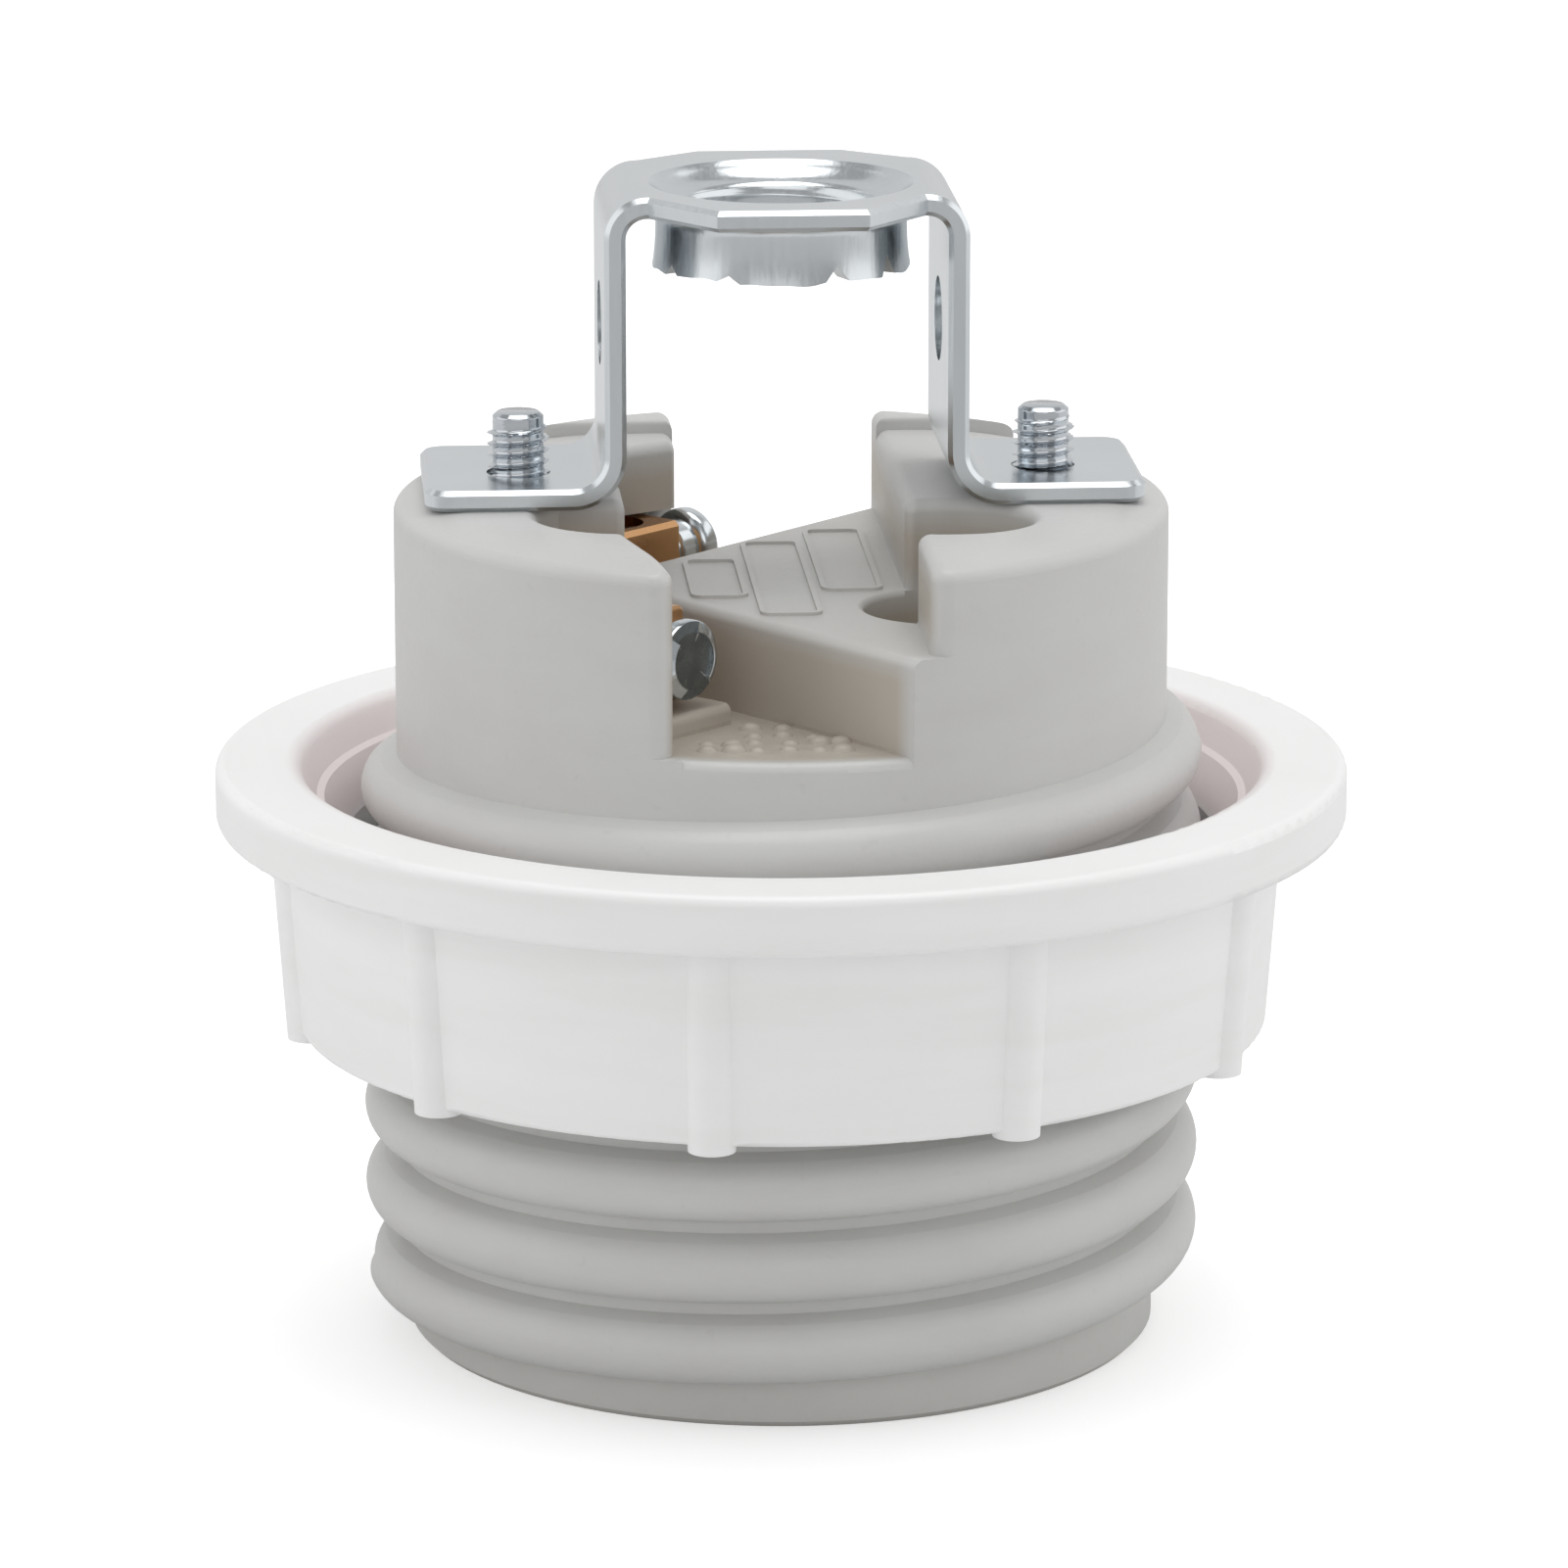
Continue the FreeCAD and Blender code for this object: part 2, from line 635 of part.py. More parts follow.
def bracket_outline():
    """Section of the bent strip, seen from the front: plate, legs and feet."""
    x, t = bracket_out_x, steel
    top, foot = bracket_top_z, seat_z
    ro, ri = bend_top_r, bend_top_r - steel
    fo, fi = bend_foot_r, bend_foot_r - steel
    s = math.sqrt(0.5)
    inner = x - t

    def half(sign):
        """Corners from the plate down to the foot's end and back, as edges of one side."""
        def p(px, pz):
            return V(sign * px, 0, pz)
        outer_top = (x - ro, top - ro)
        outer_foot = (x + fi, foot + fo)
        edges = [Part.LineSegment(p(0, top), p(x - ro, top)).toShape(),
                 Part.Arc(p(x - ro, top), p(outer_top[0] + ro * s, outer_top[1] + ro * s),
                          p(x, top - ro)).toShape(),
                 Part.LineSegment(p(x, top - ro), p(x, foot + fo)).toShape(),
                 Part.Arc(p(x, foot + fo), p(outer_foot[0] - fi * s, outer_foot[1] - fi * s),
                          p(x + fi, foot + t)).toShape(),
                 Part.LineSegment(p(x + fi, foot + t), p(foot_end_x, foot + t)).toShape(),
                 Part.LineSegment(p(foot_end_x, foot + t), p(foot_end_x, foot)).toShape(),
                 Part.LineSegment(p(foot_end_x, foot), p(x + fi, foot)).toShape(),
                 Part.Arc(p(x + fi, foot), p(outer_foot[0] - fo * s, outer_foot[1] - fo * s),
                          p(inner, foot + fo)).toShape(),
                 Part.LineSegment(p(inner, foot + fo), p(inner, top - ro)).toShape(),
                 Part.Arc(p(inner, top - ro), p(outer_top[0] + ri * s, outer_top[1] + ri * s),
                          p(x - ro, top - t)).toShape(),
                 Part.LineSegment(p(x - ro, top - t), p(0, top - t)).toShape()]
        return edges

    return Part.Wire(Part.__sortEdges__(half(1) + half(-1)))


def bracket():
    strip = Part.Face(bracket_outline()).extrude(V(0, bracket_width, 0))
    strip.translate(V(0, bracket_y - bracket_width / 2, 0))
    ends = [edge for edge in strip.Edges
            if abs(edge.BoundBox.Center.x) > foot_end_x - sunk and edge.BoundBox.ZLength > sunk]
    strip = strip.makeFillet(foot_corner_r, ends)
    sides = [edge for edge in strip.Edges if edge.BoundBox.YLength < sunk]
    strip = strip.makeChamfer(steel_edge, sides)

    front_neck = bracket_y - bracket_width / 2
    rear_neck = bracket_y + bracket_width / 2
    plate = prism([(-plate_facet_x, plate_front_y), (plate_facet_x, plate_front_y),
                   (plate_neck_x, front_neck), (plate_neck_x, rear_neck),
                   (plate_facet_x, plate_rear_y), (-plate_facet_x, plate_rear_y),
                   (-plate_neck_x, rear_neck), (-plate_neck_x, front_neck)],
                  bracket_top_z - steel, bracket_top_z)
    rims = [edge for edge in plate.Edges
            if edge.BoundBox.ZLength < sunk and edge.BoundBox.XLength > sunk]
    plate = plate.makeChamfer(steel_edge, rims)
    shape = strip.fuse(plate)

    # Drawn collar with a rounded mouth and the torn edge that drawing leaves
    under = bracket_top_z - steel
    end_z = under - collar_drop
    mouth = collar_mouth_r - collar_bore_r
    root_r = collar_r + collar_root
    collar = turned([(collar_bore_r, end_z), (collar_r, end_z), (collar_r, under - collar_root),
                     (root_r, under - collar_root), (root_r, under + sunk),
                     (collar_bore_r, under + sunk)])
    hollow = Part.makeTorus(root_r, collar_root, V(0, 0, under - collar_root), UP)
    shape = shape.fuse(collar.cut(hollow))
    shape = shape.cut(cylinder(collar_bore_r, end_z - past, bracket_top_z + past))
    bell = cylinder(collar_mouth_r, bracket_top_z - mouth, bracket_top_z + past)
    roll = Part.makeTorus(collar_mouth_r, mouth, V(0, 0, bracket_top_z - mouth), UP)
    shape = shape.cut(bell.cut(roll))
    for angle, half_width, depth in collar_notches:
        inner = collar_bore_r - past
        spread = half_width * (depth + past) / depth
        tear = Part.makePolygon([V(inner, -spread, end_z - past), V(inner, spread, end_z - past),
                                 V(inner, 0, end_z + depth), V(inner, -spread, end_z - past)])
        wedge = Part.Face(tear).extrude(V(collar_r + past - inner, 0, 0))
        wedge.rotate(ORIGIN, UP, angle)
        shape = shape.cut(wedge)

    # Cross hole through both legs, and the tapped holes in the feet
    hole = Part.makeCylinder(leg_hole_r, 2 * foot_end_x, V(-foot_end_x, bracket_y, leg_hole_z),
                             V(1, 0, 0))
    shape = shape.cut(hole)
    for side in (-1, 1):
        shape = shape.cut(cylinder(bracket_screw_r, seat_z - past, seat_z + steel + past,
                                   side * bracket_screw_x))
    return shape


def bracket_screw(side):
    """A cross-recess screw from the socket up through the body into a foot."""
    seat = bracket_head_z - washer_thickness
    tip = seat_z + steel + bracket_screw_out
    bevel = bracket_screw_tip
    low = seat - bracket_head_height
    edge = bracket_head_edge
    shape = turned([(0, low), (bracket_head_r - edge, low), (bracket_head_r, low + edge),
                    (bracket_head_r, seat), (bracket_screw_r, seat),
                    (bracket_screw_r, tip - bevel), (bracket_screw_r - bevel, tip), (0, tip)])
    half = cross_length / 2
    arm = cross_width / 2
    cross = box(-half, half, -arm, arm, low - past, low + cross_depth)
    cross = cross.fuse(box(-arm, arm, -half, half, low - past, low + cross_depth))
    shape = shape.cut(cross)
    shape.translate(V(side * bracket_screw_x, 0, 0))
    return shape


def bracket_washer(side):
    ring = cylinder(washer_r, bracket_head_z - washer_thickness, bracket_head_z)
    ring = ring.cut(cylinder(bracket_screw_r + bracket_screw_gap / 2, 0, seat_z))
    ring.translate(V(side * bracket_screw_x, 0, 0))
    return ring


def terminal_block(side):
    half = block_width / 2
    top = block_bottom_z + block_height
    shape = box(-block_length, 0, -half, half, block_bottom_z, top)
    shape = shape.makeChamfer(block_edge, shape.Edges)
    shape = shape.cut(cylinder(wire_hole_r, block_bottom_z + wire_hole_floor, top + past,
                               -wire_hole_back))
    bore = Part.makeCylinder(clamp_r + clamp_fit, clamp_drill + past,
                             V(-clamp_drill, 0, clamp_axis_z), V(1, 0, 0))
    tapped_z = block_bottom_z + block_screw_grip + block_screw_spare
    shape = shape.cut(bore)
    shape = shape.cut(cylinder(block_screw_r, block_bottom_z - past, tapped_z, -block_screw_back))
    return at_terminal(shape, side)


def terminal_screw(side):
    """Slotted clamp screw, whose tip closes the wire hole when its head is home."""
    under = clamp_gap_rear if side > 0 else clamp_gap_front
    axis = V(0, 0, clamp_axis_z)
    along = V(1, 0, 0)
    shank = Part.makeCylinder(clamp_r, clamp_length + sunk, axis + along * (under - clamp_length),
                              along)
    head = Part.makeCylinder(clamp_head_r, clamp_head_height, axis + along * under, along)
    rim = [edge for edge in head.Edges
           if edge.BoundBox.XLength < sunk and edge.BoundBox.XMin > under + sunk]
    head = head.makeFillet(clamp_head_round, rim)
    outer = under + clamp_head_height
    across = clamp_head_r + past
    slot = box(outer - slot_depth, outer + past, -slot_width / 2, slot_width / 2,
               clamp_axis_z - across, clamp_axis_z + across)
    slot.rotate(axis, along, clamp_slot_turn)
    shape = shank.fuse(head).cut(slot)
    return at_terminal(shape, side)


def slotted_screw(radius, head_r, head_height, seat, top, x, y, turn):
    """A cheese-head screw that points up, with its slot below."""
    low = seat - head_height
    edge = inner_screw_edge
    half = inner_slot_width / 2
    shape = turned([(0, low), (head_r - edge, low), (head_r, low + edge), (head_r, seat),
                    (radius, seat), (radius, top - edge), (radius - edge, top), (0, top)])
    slot = box(-head_r - past, head_r + past, -half, half, low - past, low + head_height / 2)
    slot.rotate(ORIGIN, UP, turn)
    shape = shape.cut(slot)
    shape.translate(V(x, y, 0))
    return shape


def block_screw(side):
    x, y = terminal_point(side, block_screw_back)
    return slotted_screw(block_screw_r, block_screw_head_r, block_screw_head_height, strip_z,
                         block_bottom_z + block_screw_grip, x, y, block_screw_turn)


def shell_screw(side):
    return slotted_screw(shell_screw_r, shell_screw_head_r, shell_screw_head_height,
                         socket_ceiling_z - shell_wall, shell_screw_top_z - shell_screw_spare,
                         0, side * shell_screw_y, shell_screw_turn)


def screw_shell():
    """Drawn brass cup: the wall takes the lamp's cap, the base lies on the ceiling."""
    top = socket_ceiling_z
    wall = shell_wall
    bend = shell_bend
    shape = turned([(shell_base_hole_r, top - wall), (shell_r - wall - bend, top - wall),
                    (shell_r - wall, top - wall - bend), (shell_r - wall, shell_end_z + shell_lip),
                    (shell_r - wall + shell_lip, shell_end_z), (shell_r + shell_lip, shell_end_z),
                    (shell_r, shell_end_z + shell_lip), (shell_r, top - bend),
                    (shell_r - bend, top), (shell_base_hole_r, top)])
    for side in (-1, 1):
        shape = shape.cut(cylinder(shell_screw_r + shell_hole_play, top - past, top + past,
                                   0, side * shell_screw_y))
    return shape


def live_strip():
    x, y = terminal_point(-1, block_screw_back)
    low, top = strip_z - past, strip_z + strip_thickness + past
    shape = capsule(x, y, 0, 0, strip_width, strip_z, strip_z + strip_thickness)
    centre = cylinder(contact_recess_r - strip_play, strip_z, strip_z + strip_thickness)
    shape = shape.fuse(centre).removeSplitter()
    shape = shape.cut(cylinder(contact_stem_r + contact_play, low, top))
    return shape.cut(cylinder(block_screw_r, low, top, x, y))


def neutral_strip():
    """Strip from the rear terminal, stepped down onto the shell's base."""
    x, y = terminal_point(1, block_screw_back)
    step_x, step_y = neutral_step()
    high, low = strip_z, socket_ceiling_z
    t = strip_thickness
    shape = capsule(x, y, step_x, step_y, strip_width, high, high + t)
    shape = shape.fuse(capsule(step_x, step_y, 0, shell_screw_y, strip_width, low, low + t))
    turn = math.degrees(math.atan2(shell_screw_y - step_y, -step_x))
    riser = Part.makeBox(t, strip_width, high + t - low, V(-t / 2, -strip_width / 2, low))
    riser.rotate(ORIGIN, UP, turn)
    riser.translate(V(step_x, step_y, 0))
    reach = 2 * dome_r
    keep_high = box(-reach, t / 2, -reach, reach, high, high + t)
    keep_low = box(-t / 2, reach, -reach, reach, low, low + t)
    for keeper in (keep_high, keep_low):
        keeper.rotate(ORIGIN, UP, turn)
        keeper.translate(V(step_x, step_y, 0))
    shape = shape.common(keep_high.fuse(keep_low)).fuse(riser).removeSplitter()
    shape = shape.cut(cylinder(block_screw_r, high - past, high + t + past, x, y))
    return shape.cut(cylinder(shell_screw_r, low - past, low + t + past, 0, shell_screw_y))


def centre_contact():
    """Brass button on a stem that slides through the live strip."""
    tip = contact_tip_z
    rim = tip + contact_dome
    back = rim + contact_rim
    stop = strip_z + strip_thickness + contact_play
    arc_top = V(contact_r, 0, rim)
    out, up = crown_middle(contact_r, contact_dome)
    profile = [Part.Arc(V(0, 0, tip), V(out, 0, tip + up), arc_top).toShape()]
    corners = [arc_top, V(contact_r, 0, back), V(contact_stem_r, 0, back),
               V(contact_stem_r, 0, stop), V(contact_stop_r, 0, stop),
               V(contact_stop_r, 0, stop + contact_stop_height),
               V(0, 0, stop + contact_stop_height), V(0, 0, tip)]
    for first, second in zip(corners, corners[1:]):
        profile.append(Part.LineSegment(first, second).toShape())
    return Part.Face(Part.Wire(profile)).revolve(ORIGIN, UP, 360)


def contact_spring():
    """Compression spring between the button and the live strip."""
    low = contact_tip_z + contact_dome + contact_rim + spring_wire_r
    high = strip_z - spring_wire_r
    helix = Part.makeLongHelix((high - low) / spring_turns, high - low, spring_r, 0)
    wire = Part.Wire(Part.makeCircle(spring_wire_r, V(spring_r, 0, 0), V(0, 1, 0)))
    coil = Part.Wire(helix).makePipeShell([wire], True, True)
    coil.translate(V(0, 0, low))
    return coil


def main():
    os.makedirs("parts", exist_ok=True)
    pieces = {
        "body": body(),
        "shade_ring": shade_ring(),
        "bracket": bracket(),
        "screw_shell": screw_shell(),
        "live_strip": live_strip(),
        "neutral_strip": neutral_strip(),
        "centre_contact": centre_contact(),
        "contact_spring": contact_spring(),
    }
    for name, side in (("left", -1), ("right", 1)):
        pieces["bracket_screw_" + name] = bracket_screw(side)
        pieces["bracket_washer_" + name] = bracket_washer(side)
    for name, side in (("front", -1), ("rear", 1)):
        pieces["terminal_block_" + name] = terminal_block(side)
        pieces["terminal_screw_" + name] = terminal_screw(side)
        pieces["block_screw_" + name] = block_screw(side)
        pieces["shell_screw_" + name] = shell_screw(side)
    for name, shape in pieces.items():
        solids = shape.Solids
        print(name, "solids", len(solids), "valid", shape.isValid(), "volume", round(shape.Volume, 2))
        piece = solids[0] if len(solids) == 1 else Part.makeCompound(solids)
        piece.exportStep("parts/" + name + ".step")


main()
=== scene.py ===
# %% [markdown]
# # Lamp holder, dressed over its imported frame
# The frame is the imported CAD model: a moulded insulating body with a coarse outside thread, a
# screw-on shade ring, a bent steel bracket, two clamp terminals and the contacts in the socket.
# Everything below is in metres in that same frame. The nodes whose shape is right keep their
# mesh and get a material. The pieces that the frame holds as plain shapes, such as the fine
# threads, are made here and stand for their nodes.

# %% Load the frame
import math

import bmesh
import bpy
from mathutils import Matrix, Vector


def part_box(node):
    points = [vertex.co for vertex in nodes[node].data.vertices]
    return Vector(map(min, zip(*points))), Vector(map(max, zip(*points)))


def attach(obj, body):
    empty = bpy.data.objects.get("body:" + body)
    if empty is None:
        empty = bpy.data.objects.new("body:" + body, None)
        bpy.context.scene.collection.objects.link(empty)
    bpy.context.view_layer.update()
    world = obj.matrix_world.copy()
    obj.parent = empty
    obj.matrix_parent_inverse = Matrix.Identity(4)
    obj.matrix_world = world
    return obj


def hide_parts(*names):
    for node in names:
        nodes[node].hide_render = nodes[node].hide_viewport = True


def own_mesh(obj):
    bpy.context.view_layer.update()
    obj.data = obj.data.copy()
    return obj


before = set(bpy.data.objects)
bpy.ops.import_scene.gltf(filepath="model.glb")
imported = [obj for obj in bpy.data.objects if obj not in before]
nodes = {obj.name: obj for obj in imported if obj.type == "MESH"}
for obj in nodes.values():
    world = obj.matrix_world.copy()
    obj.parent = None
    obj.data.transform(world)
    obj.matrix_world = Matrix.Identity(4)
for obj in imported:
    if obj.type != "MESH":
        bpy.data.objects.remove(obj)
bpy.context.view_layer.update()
MM = 0.001


# %% [markdown]
# ## Node writing
# Materials and repeated forms are node trees. They could be wired link by link, but then nobody
# can read the formula in them. So a `Flow` is one value in such a tree, and arithmetic on it
# adds the Math node. `Net.add` adds any other node: its settings first, then its sockets.

# %% One value of a node tree
class Flow:
    """One socket of a node tree that arithmetic can be done on."""

    def __init__(self, net, socket):
        self.net = net
        self.socket = socket

    def math(self, operation, *others):
        kind = "ShaderNodeMath"
        if any(isinstance(v, Flow) and v.socket.type == "VECTOR" for v in (self, *others)):
            kind = "ShaderNodeVectorMath"
        inputs = dict(enumerate((self, *others)))
        return self.net.add(kind, inputs, operation=operation)

    def __add__(self, other):
        return self.math("ADD", other)

    def __sub__(self, other):
        return self.math("SUBTRACT", other)

    def __mul__(self, other):
        return self.math("MULTIPLY", other)

    def __truediv__(self, other):
        return self.math("DIVIDE", other)

    def __radd__(self, other):
        return self.net.value(other) + self

    def __rsub__(self, other):
        return self.net.value(other) - self

    def __rmul__(self, other):
        return self.net.value(other) * self

    def __rtruediv__(self, other):
        return self.net.value(other) / self


# %% A node tree written from code
class Net:
    """A node tree, with one method that adds any node."""

    def __init__(self, tree):
        self.tree = tree

    def add(self, kind, inputs=None, out=0, **settings):
        node = self.tree.nodes.new(kind)
        for name, value in settings.items():
            setattr(node, name, value)
        for key, value in (inputs or {}).items():
            if isinstance(value, Flow):
                self.tree.links.new(value.socket, node.inputs[key])
            else:
                node.inputs[key].default_value = value
        return Flow(self, node.outputs[out])

    def value(self, number):
        flow = self.add("ShaderNodeValue")
        flow.socket.default_value = number
        return flow


# %% [markdown]
# ## Camera
# The photograph looks a little down on the holder from a third of a metre away, through a long
# lens. A camera can be moved by eye until the picture looks right, but then sizes read from it
# drift. This one's place, tilt and focal length were fitted to the ellipses of the rims and the
# height of the bracket.

# %% Camera where the photograph was taken
camera_place = (-0.02453, -0.35275, 0.1151)
camera_tilt, camera_turn = 75.89, -4.0
camera_data = bpy.data.cameras.new("camera")
camera_data.sensor_width = 36.0
camera_data.lens = 175.6
camera_data.clip_start = 0.01
camera_data.clip_end = 20.0
camera = bpy.data.objects.new("camera", camera_data)
camera.location = camera_place
camera.rotation_euler = (math.radians(camera_tilt), 0.0, math.radians(camera_turn))
bpy.context.scene.collection.objects.link(camera)
bpy.context.scene.camera = camera
print("camera", [round(c, 4) for c in camera.location], "lens", camera_data.lens)


# %% [markdown]
# ## Ground
# The holder stands on white paper that takes its contact shadow. More light would turn the paper
# white, but would burn out the pale mouldings too. So only what the camera itself sees of the
# paper is lifted to white. Upright steel mirrors the ground in front of it and looks mid grey in
# the photograph: a grey board lies there, outside the picture, and looks like paper when seen.

# %% Pieces, materials and flat sheets
def piece_from_mesh(name, mesh, material):
    """Links a mesh as an object with one material."""
    mesh.materials.clear()
    mesh.materials.append(material)
    obj = bpy.data.objects.new(name, mesh)
    bpy.context.scene.collection.objects.link(obj)
    return obj


def new_material(name):
    material = bpy.data.materials.new(name)
    material.use_nodes = True
    material.node_tree.nodes.clear()
    return material, Net(material.node_tree)


def close_tree(net, shader, kind="ShaderNodeOutputMaterial"):
    output = net.tree.nodes.new(kind)
    net.tree.links.new(shader.socket, output.inputs["Surface"])


def level_sheet(name, x0, x1, y0, y1, z, material):
    """A flat sheet that isn't part of the holder."""
    mesh = bpy.data.meshes.new(name)
    mesh.from_pydata([(x0, y0, z), (x1, y0, z), (x1, y1, z), (x0, y1, z)], [], [(0, 1, 2, 3)])
    sheet = piece_from_mesh(name, mesh, material)
    return sheet


# %% Paper floor and grey board
white = (1.0, 1.0, 1.0, 1.0)
paper_grey, paper_lift, board_grey = 0.80, 0.45, 0.60


def ground_material(name, grey):
    """Lights the holder as this grey does, and looks like white paper to the camera."""
    material, net = new_material(name)
    lit = net.add("ShaderNodeBsdfDiffuse", {"Color": (grey, grey, grey, 1.0)})
    paper = net.add("ShaderNodeBsdfDiffuse", {"Color": (paper_grey, paper_grey, paper_grey, 1.0)})
    lift = net.add("ShaderNodeEmission", {"Color": white, "Strength": paper_lift})
    seen = net.add("ShaderNodeAddShader", {0: paper, 1: lift})
    ray = net.add("ShaderNodeLightPath", out="Is Camera Ray")
    close_tree(net, net.add("ShaderNodeMixShader", {0: ray, 1: lit, 2: seen}))
    return material


level_sheet("floor", -6.0, 6.0, -6.0, 6.0, 0.0, ground_material("paper", paper_grey))
front_board = level_sheet("front_board", -0.5, 0.5, -1.4, -0.075, 0.0002,
                          ground_material("board", board_grey))
front_board.visible_shadow = False    # no dark line along its edge
print("ground", paper_grey, "board", board_grey)


# %% [markdown]
# ## Room and lamps
# The picture was taken in a light tent: white panels behind, at both sides and above, and a
# darker room on the camera's side. One even sky would be simpler, but steel shows what it
# mirrors. Its level faces mirror the panel behind and look light, and the rounded edges catch
# the panel above as a bright line. So each panel is an area lamp, and the room is a dim grey.

# %% Room
room_light, seen_light = 0.43, 1.0
world = bpy.data.worlds.new("studio")
bpy.context.scene.world = world
world.use_nodes = True
world.node_tree.nodes.clear()
net = Net(world.node_tree)
room = net.add("ShaderNodeBackground", {"Color": white, "Strength": room_light})
seen = net.add("ShaderNodeBackground", {"Color": white, "Strength": seen_light})
ray = net.add("ShaderNodeLightPath", out="Is Camera Ray")
close_tree(net, net.add("ShaderNodeMixShader", {0: ray, 1: room, 2: seen}),
           "ShaderNodeOutputWorld")
bpy.context.scene.view_settings.view_transform = "Standard"
print("room", room_light)


# %% Panels
def panel(name, place, target, size, glow):
    """A rectangular lamp that faces a target; glow 1 is as bright as white paper in full light."""
    data = bpy.data.lights.new(name, "AREA")
    data.shape = "RECTANGLE"
    data.size, data.size_y = size
    data.energy = glow * math.pi * size[0] * size[1]
    lamp = bpy.data.objects.new(name, data)
    lamp.location = place
    aim = Vector(target) - Vector(place)
    lamp.rotation_euler = aim.to_track_quat("-Z", "Y").to_euler()
    lamp.visible_camera = False
    bpy.context.scene.collection.objects.link(lamp)


panel("behind", (0.0, 1.2, 0.62), (0, 0, 0.2), (3.0, 1.5), 0.30)
panel("left", (-1.15, -0.05, 0.55), (0, 0, 0.15), (1.6, 1.2), 0.70)
panel("right", (1.15, -0.05, 0.55), (0, 0, 0.15), (1.6, 1.2), 0.80)
panel("above", (0.05, 0.05, 1.2), (0, 0, 0.03), (0.9, 0.9), 2.15)
panel("front", (-0.20, -1.30, 0.55), (0, 0, 0.03), (1.3, 0.7), 0.80)


# %% [markdown]
# ## What every finish is made of
# A finish is colour, roughness and a fine relief, each a little uneven, as on a real moulding or
# a plated strip. Pictures of real surfaces would do it too, but they have seams and one fixed
# size. The patterns here are noise in the holder's own coordinates: they have no seam, and stay
# on the piece when it moves.

# %% Colour and pattern helpers
noise_roughness = 0.55


def srgb(red, green, blue):
    """A colour given as it is seen, 0 to 255, turned into light."""
    def light(channel):
        share = channel / 255
        return share / 12.92 if share <= 0.04045 else ((share + 0.055) / 1.055) ** 2.4
    return (light(red), light(green), light(blue), 1.0)


def stretch(net, value, low, high, to_low, to_high):
    """The value's range low to high, stretched to another and held at its ends."""
    return net.add("ShaderNodeMapRange", {"Value": value, "From Min": low, "From Max": high,
                                          "To Min": to_low, "To Max": to_high})


def place(net, scale=(1.0, 1.0, 1.0)):
    """Position on the object in metres, stretched."""
    spot = net.add("ShaderNodeTexCoord", out="Object")
    return spot * net.add("ShaderNodeCombineXYZ", {"X": scale[0], "Y": scale[1], "Z": scale[2]})


def measured(net, spot):
    """X, Y, height and distance from the holder's axis of a spot."""
    x = net.add("ShaderNodeSeparateXYZ", {0: spot})
    y, height = (Flow(net, x.socket.node.outputs[axis]) for axis in ("Y", "Z"))
    return x, y, height, (x * x + y * y).math("SQRT")


def noise(net, where, scale, detail):
    """A cloudy pattern; a larger scale makes it finer."""
    return net.add("ShaderNodeTexNoise", {"Vector": where, "Scale": scale, "Detail": detail,
                                          "Roughness": noise_roughness})


# %% Mixing colours and closing a finish
def blend(net, share, first, second):
    """Mix of two colours."""
    mixer = net.tree.nodes.new("ShaderNodeMix")
    mixer.data_type = "RGBA"
    for index, value in ((0, share), (6, first), (7, second)):
        if isinstance(value, Flow):
            net.tree.links.new(value.socket, mixer.inputs[index])
        else:
            mixer.inputs[index].default_value = value
    return Flow(net, mixer.outputs[2])


def finish_material(material, net, colour, roughness, height, distance, **fixed):
    """Closes a material with one Principled shader; fixed values are set on its sockets."""
    shader = net.tree.nodes.new("ShaderNodeBsdfPrincipled")
    for key, value in fixed.items():
        shader.inputs[key.replace("_", " ")].default_value = value
    bump = net.add("ShaderNodeBump", {"Height": height, "Distance": distance, "Strength": 1.0})
    for key, value in (("Base Color", colour), ("Roughness", roughness), ("Normal", bump)):
        net.tree.links.new(value.socket, shader.inputs[key])
    close_tree(net, Flow(net, shader.outputs[0]))
    return material


# %% [markdown]
# ## Grey moulding of the body
# The body is pressed from a thermoset powder: a dull grey skin with fine grain and faint clouds
# where the melt flowed. The walls and floors of the terminal well are painted darker and
# browner: painted shade, warmed as light bouncing in the well is. That could be a second material
# with a hard edge; here one colour fades into the other by height and by distance from the axis.
# The front notch's floor gets a soft ripple between its mounds.

# %% Body moulding
skin_relief = 0.00003    # height in metres that one unit of relief stands for
# Where each mask starts and ends, in metres.
well_edge, seat_edge = (0.0172, 0.0180), (0.0389, 0.0402)
bar_top, bar_top_edge = 0.0363, (0.0001, 0.0012)
floor_top, floor_bottom = (0.03178, 0.03190), (0.0312, 0.0315)
notch_rear, notch_rim = (-0.0108, -0.0096), (0.0168, 0.0176)


def well_painted_shade_share(net, height, radius):
    """1 on the walls and floors of the terminal well, where shade is painted, 0 on the outside and
    on level tops.
    """
    inside = stretch(net, radius, *well_edge, 1.0, 0.0)
    below_seat = stretch(net, height, *seat_edge, 1.0, 0.0)
    off_bar_top = stretch(net, (height - bar_top).math("ABSOLUTE"), *bar_top_edge, 0.15, 1.0)
    return inside * below_seat * off_bar_top


def notch_floor_share(net, y, height, radius):
    """1 on the floor of the front notch."""
    level = stretch(net, height, *floor_top, 1.0, 0.0)
    level = level * stretch(net, height, *floor_bottom, 0.0, 1.0)
    in_front = stretch(net, y, *notch_rear, 1.0, 0.0)
    return level * in_front * stretch(net, radius, *notch_rim, 1.0, 0.0)


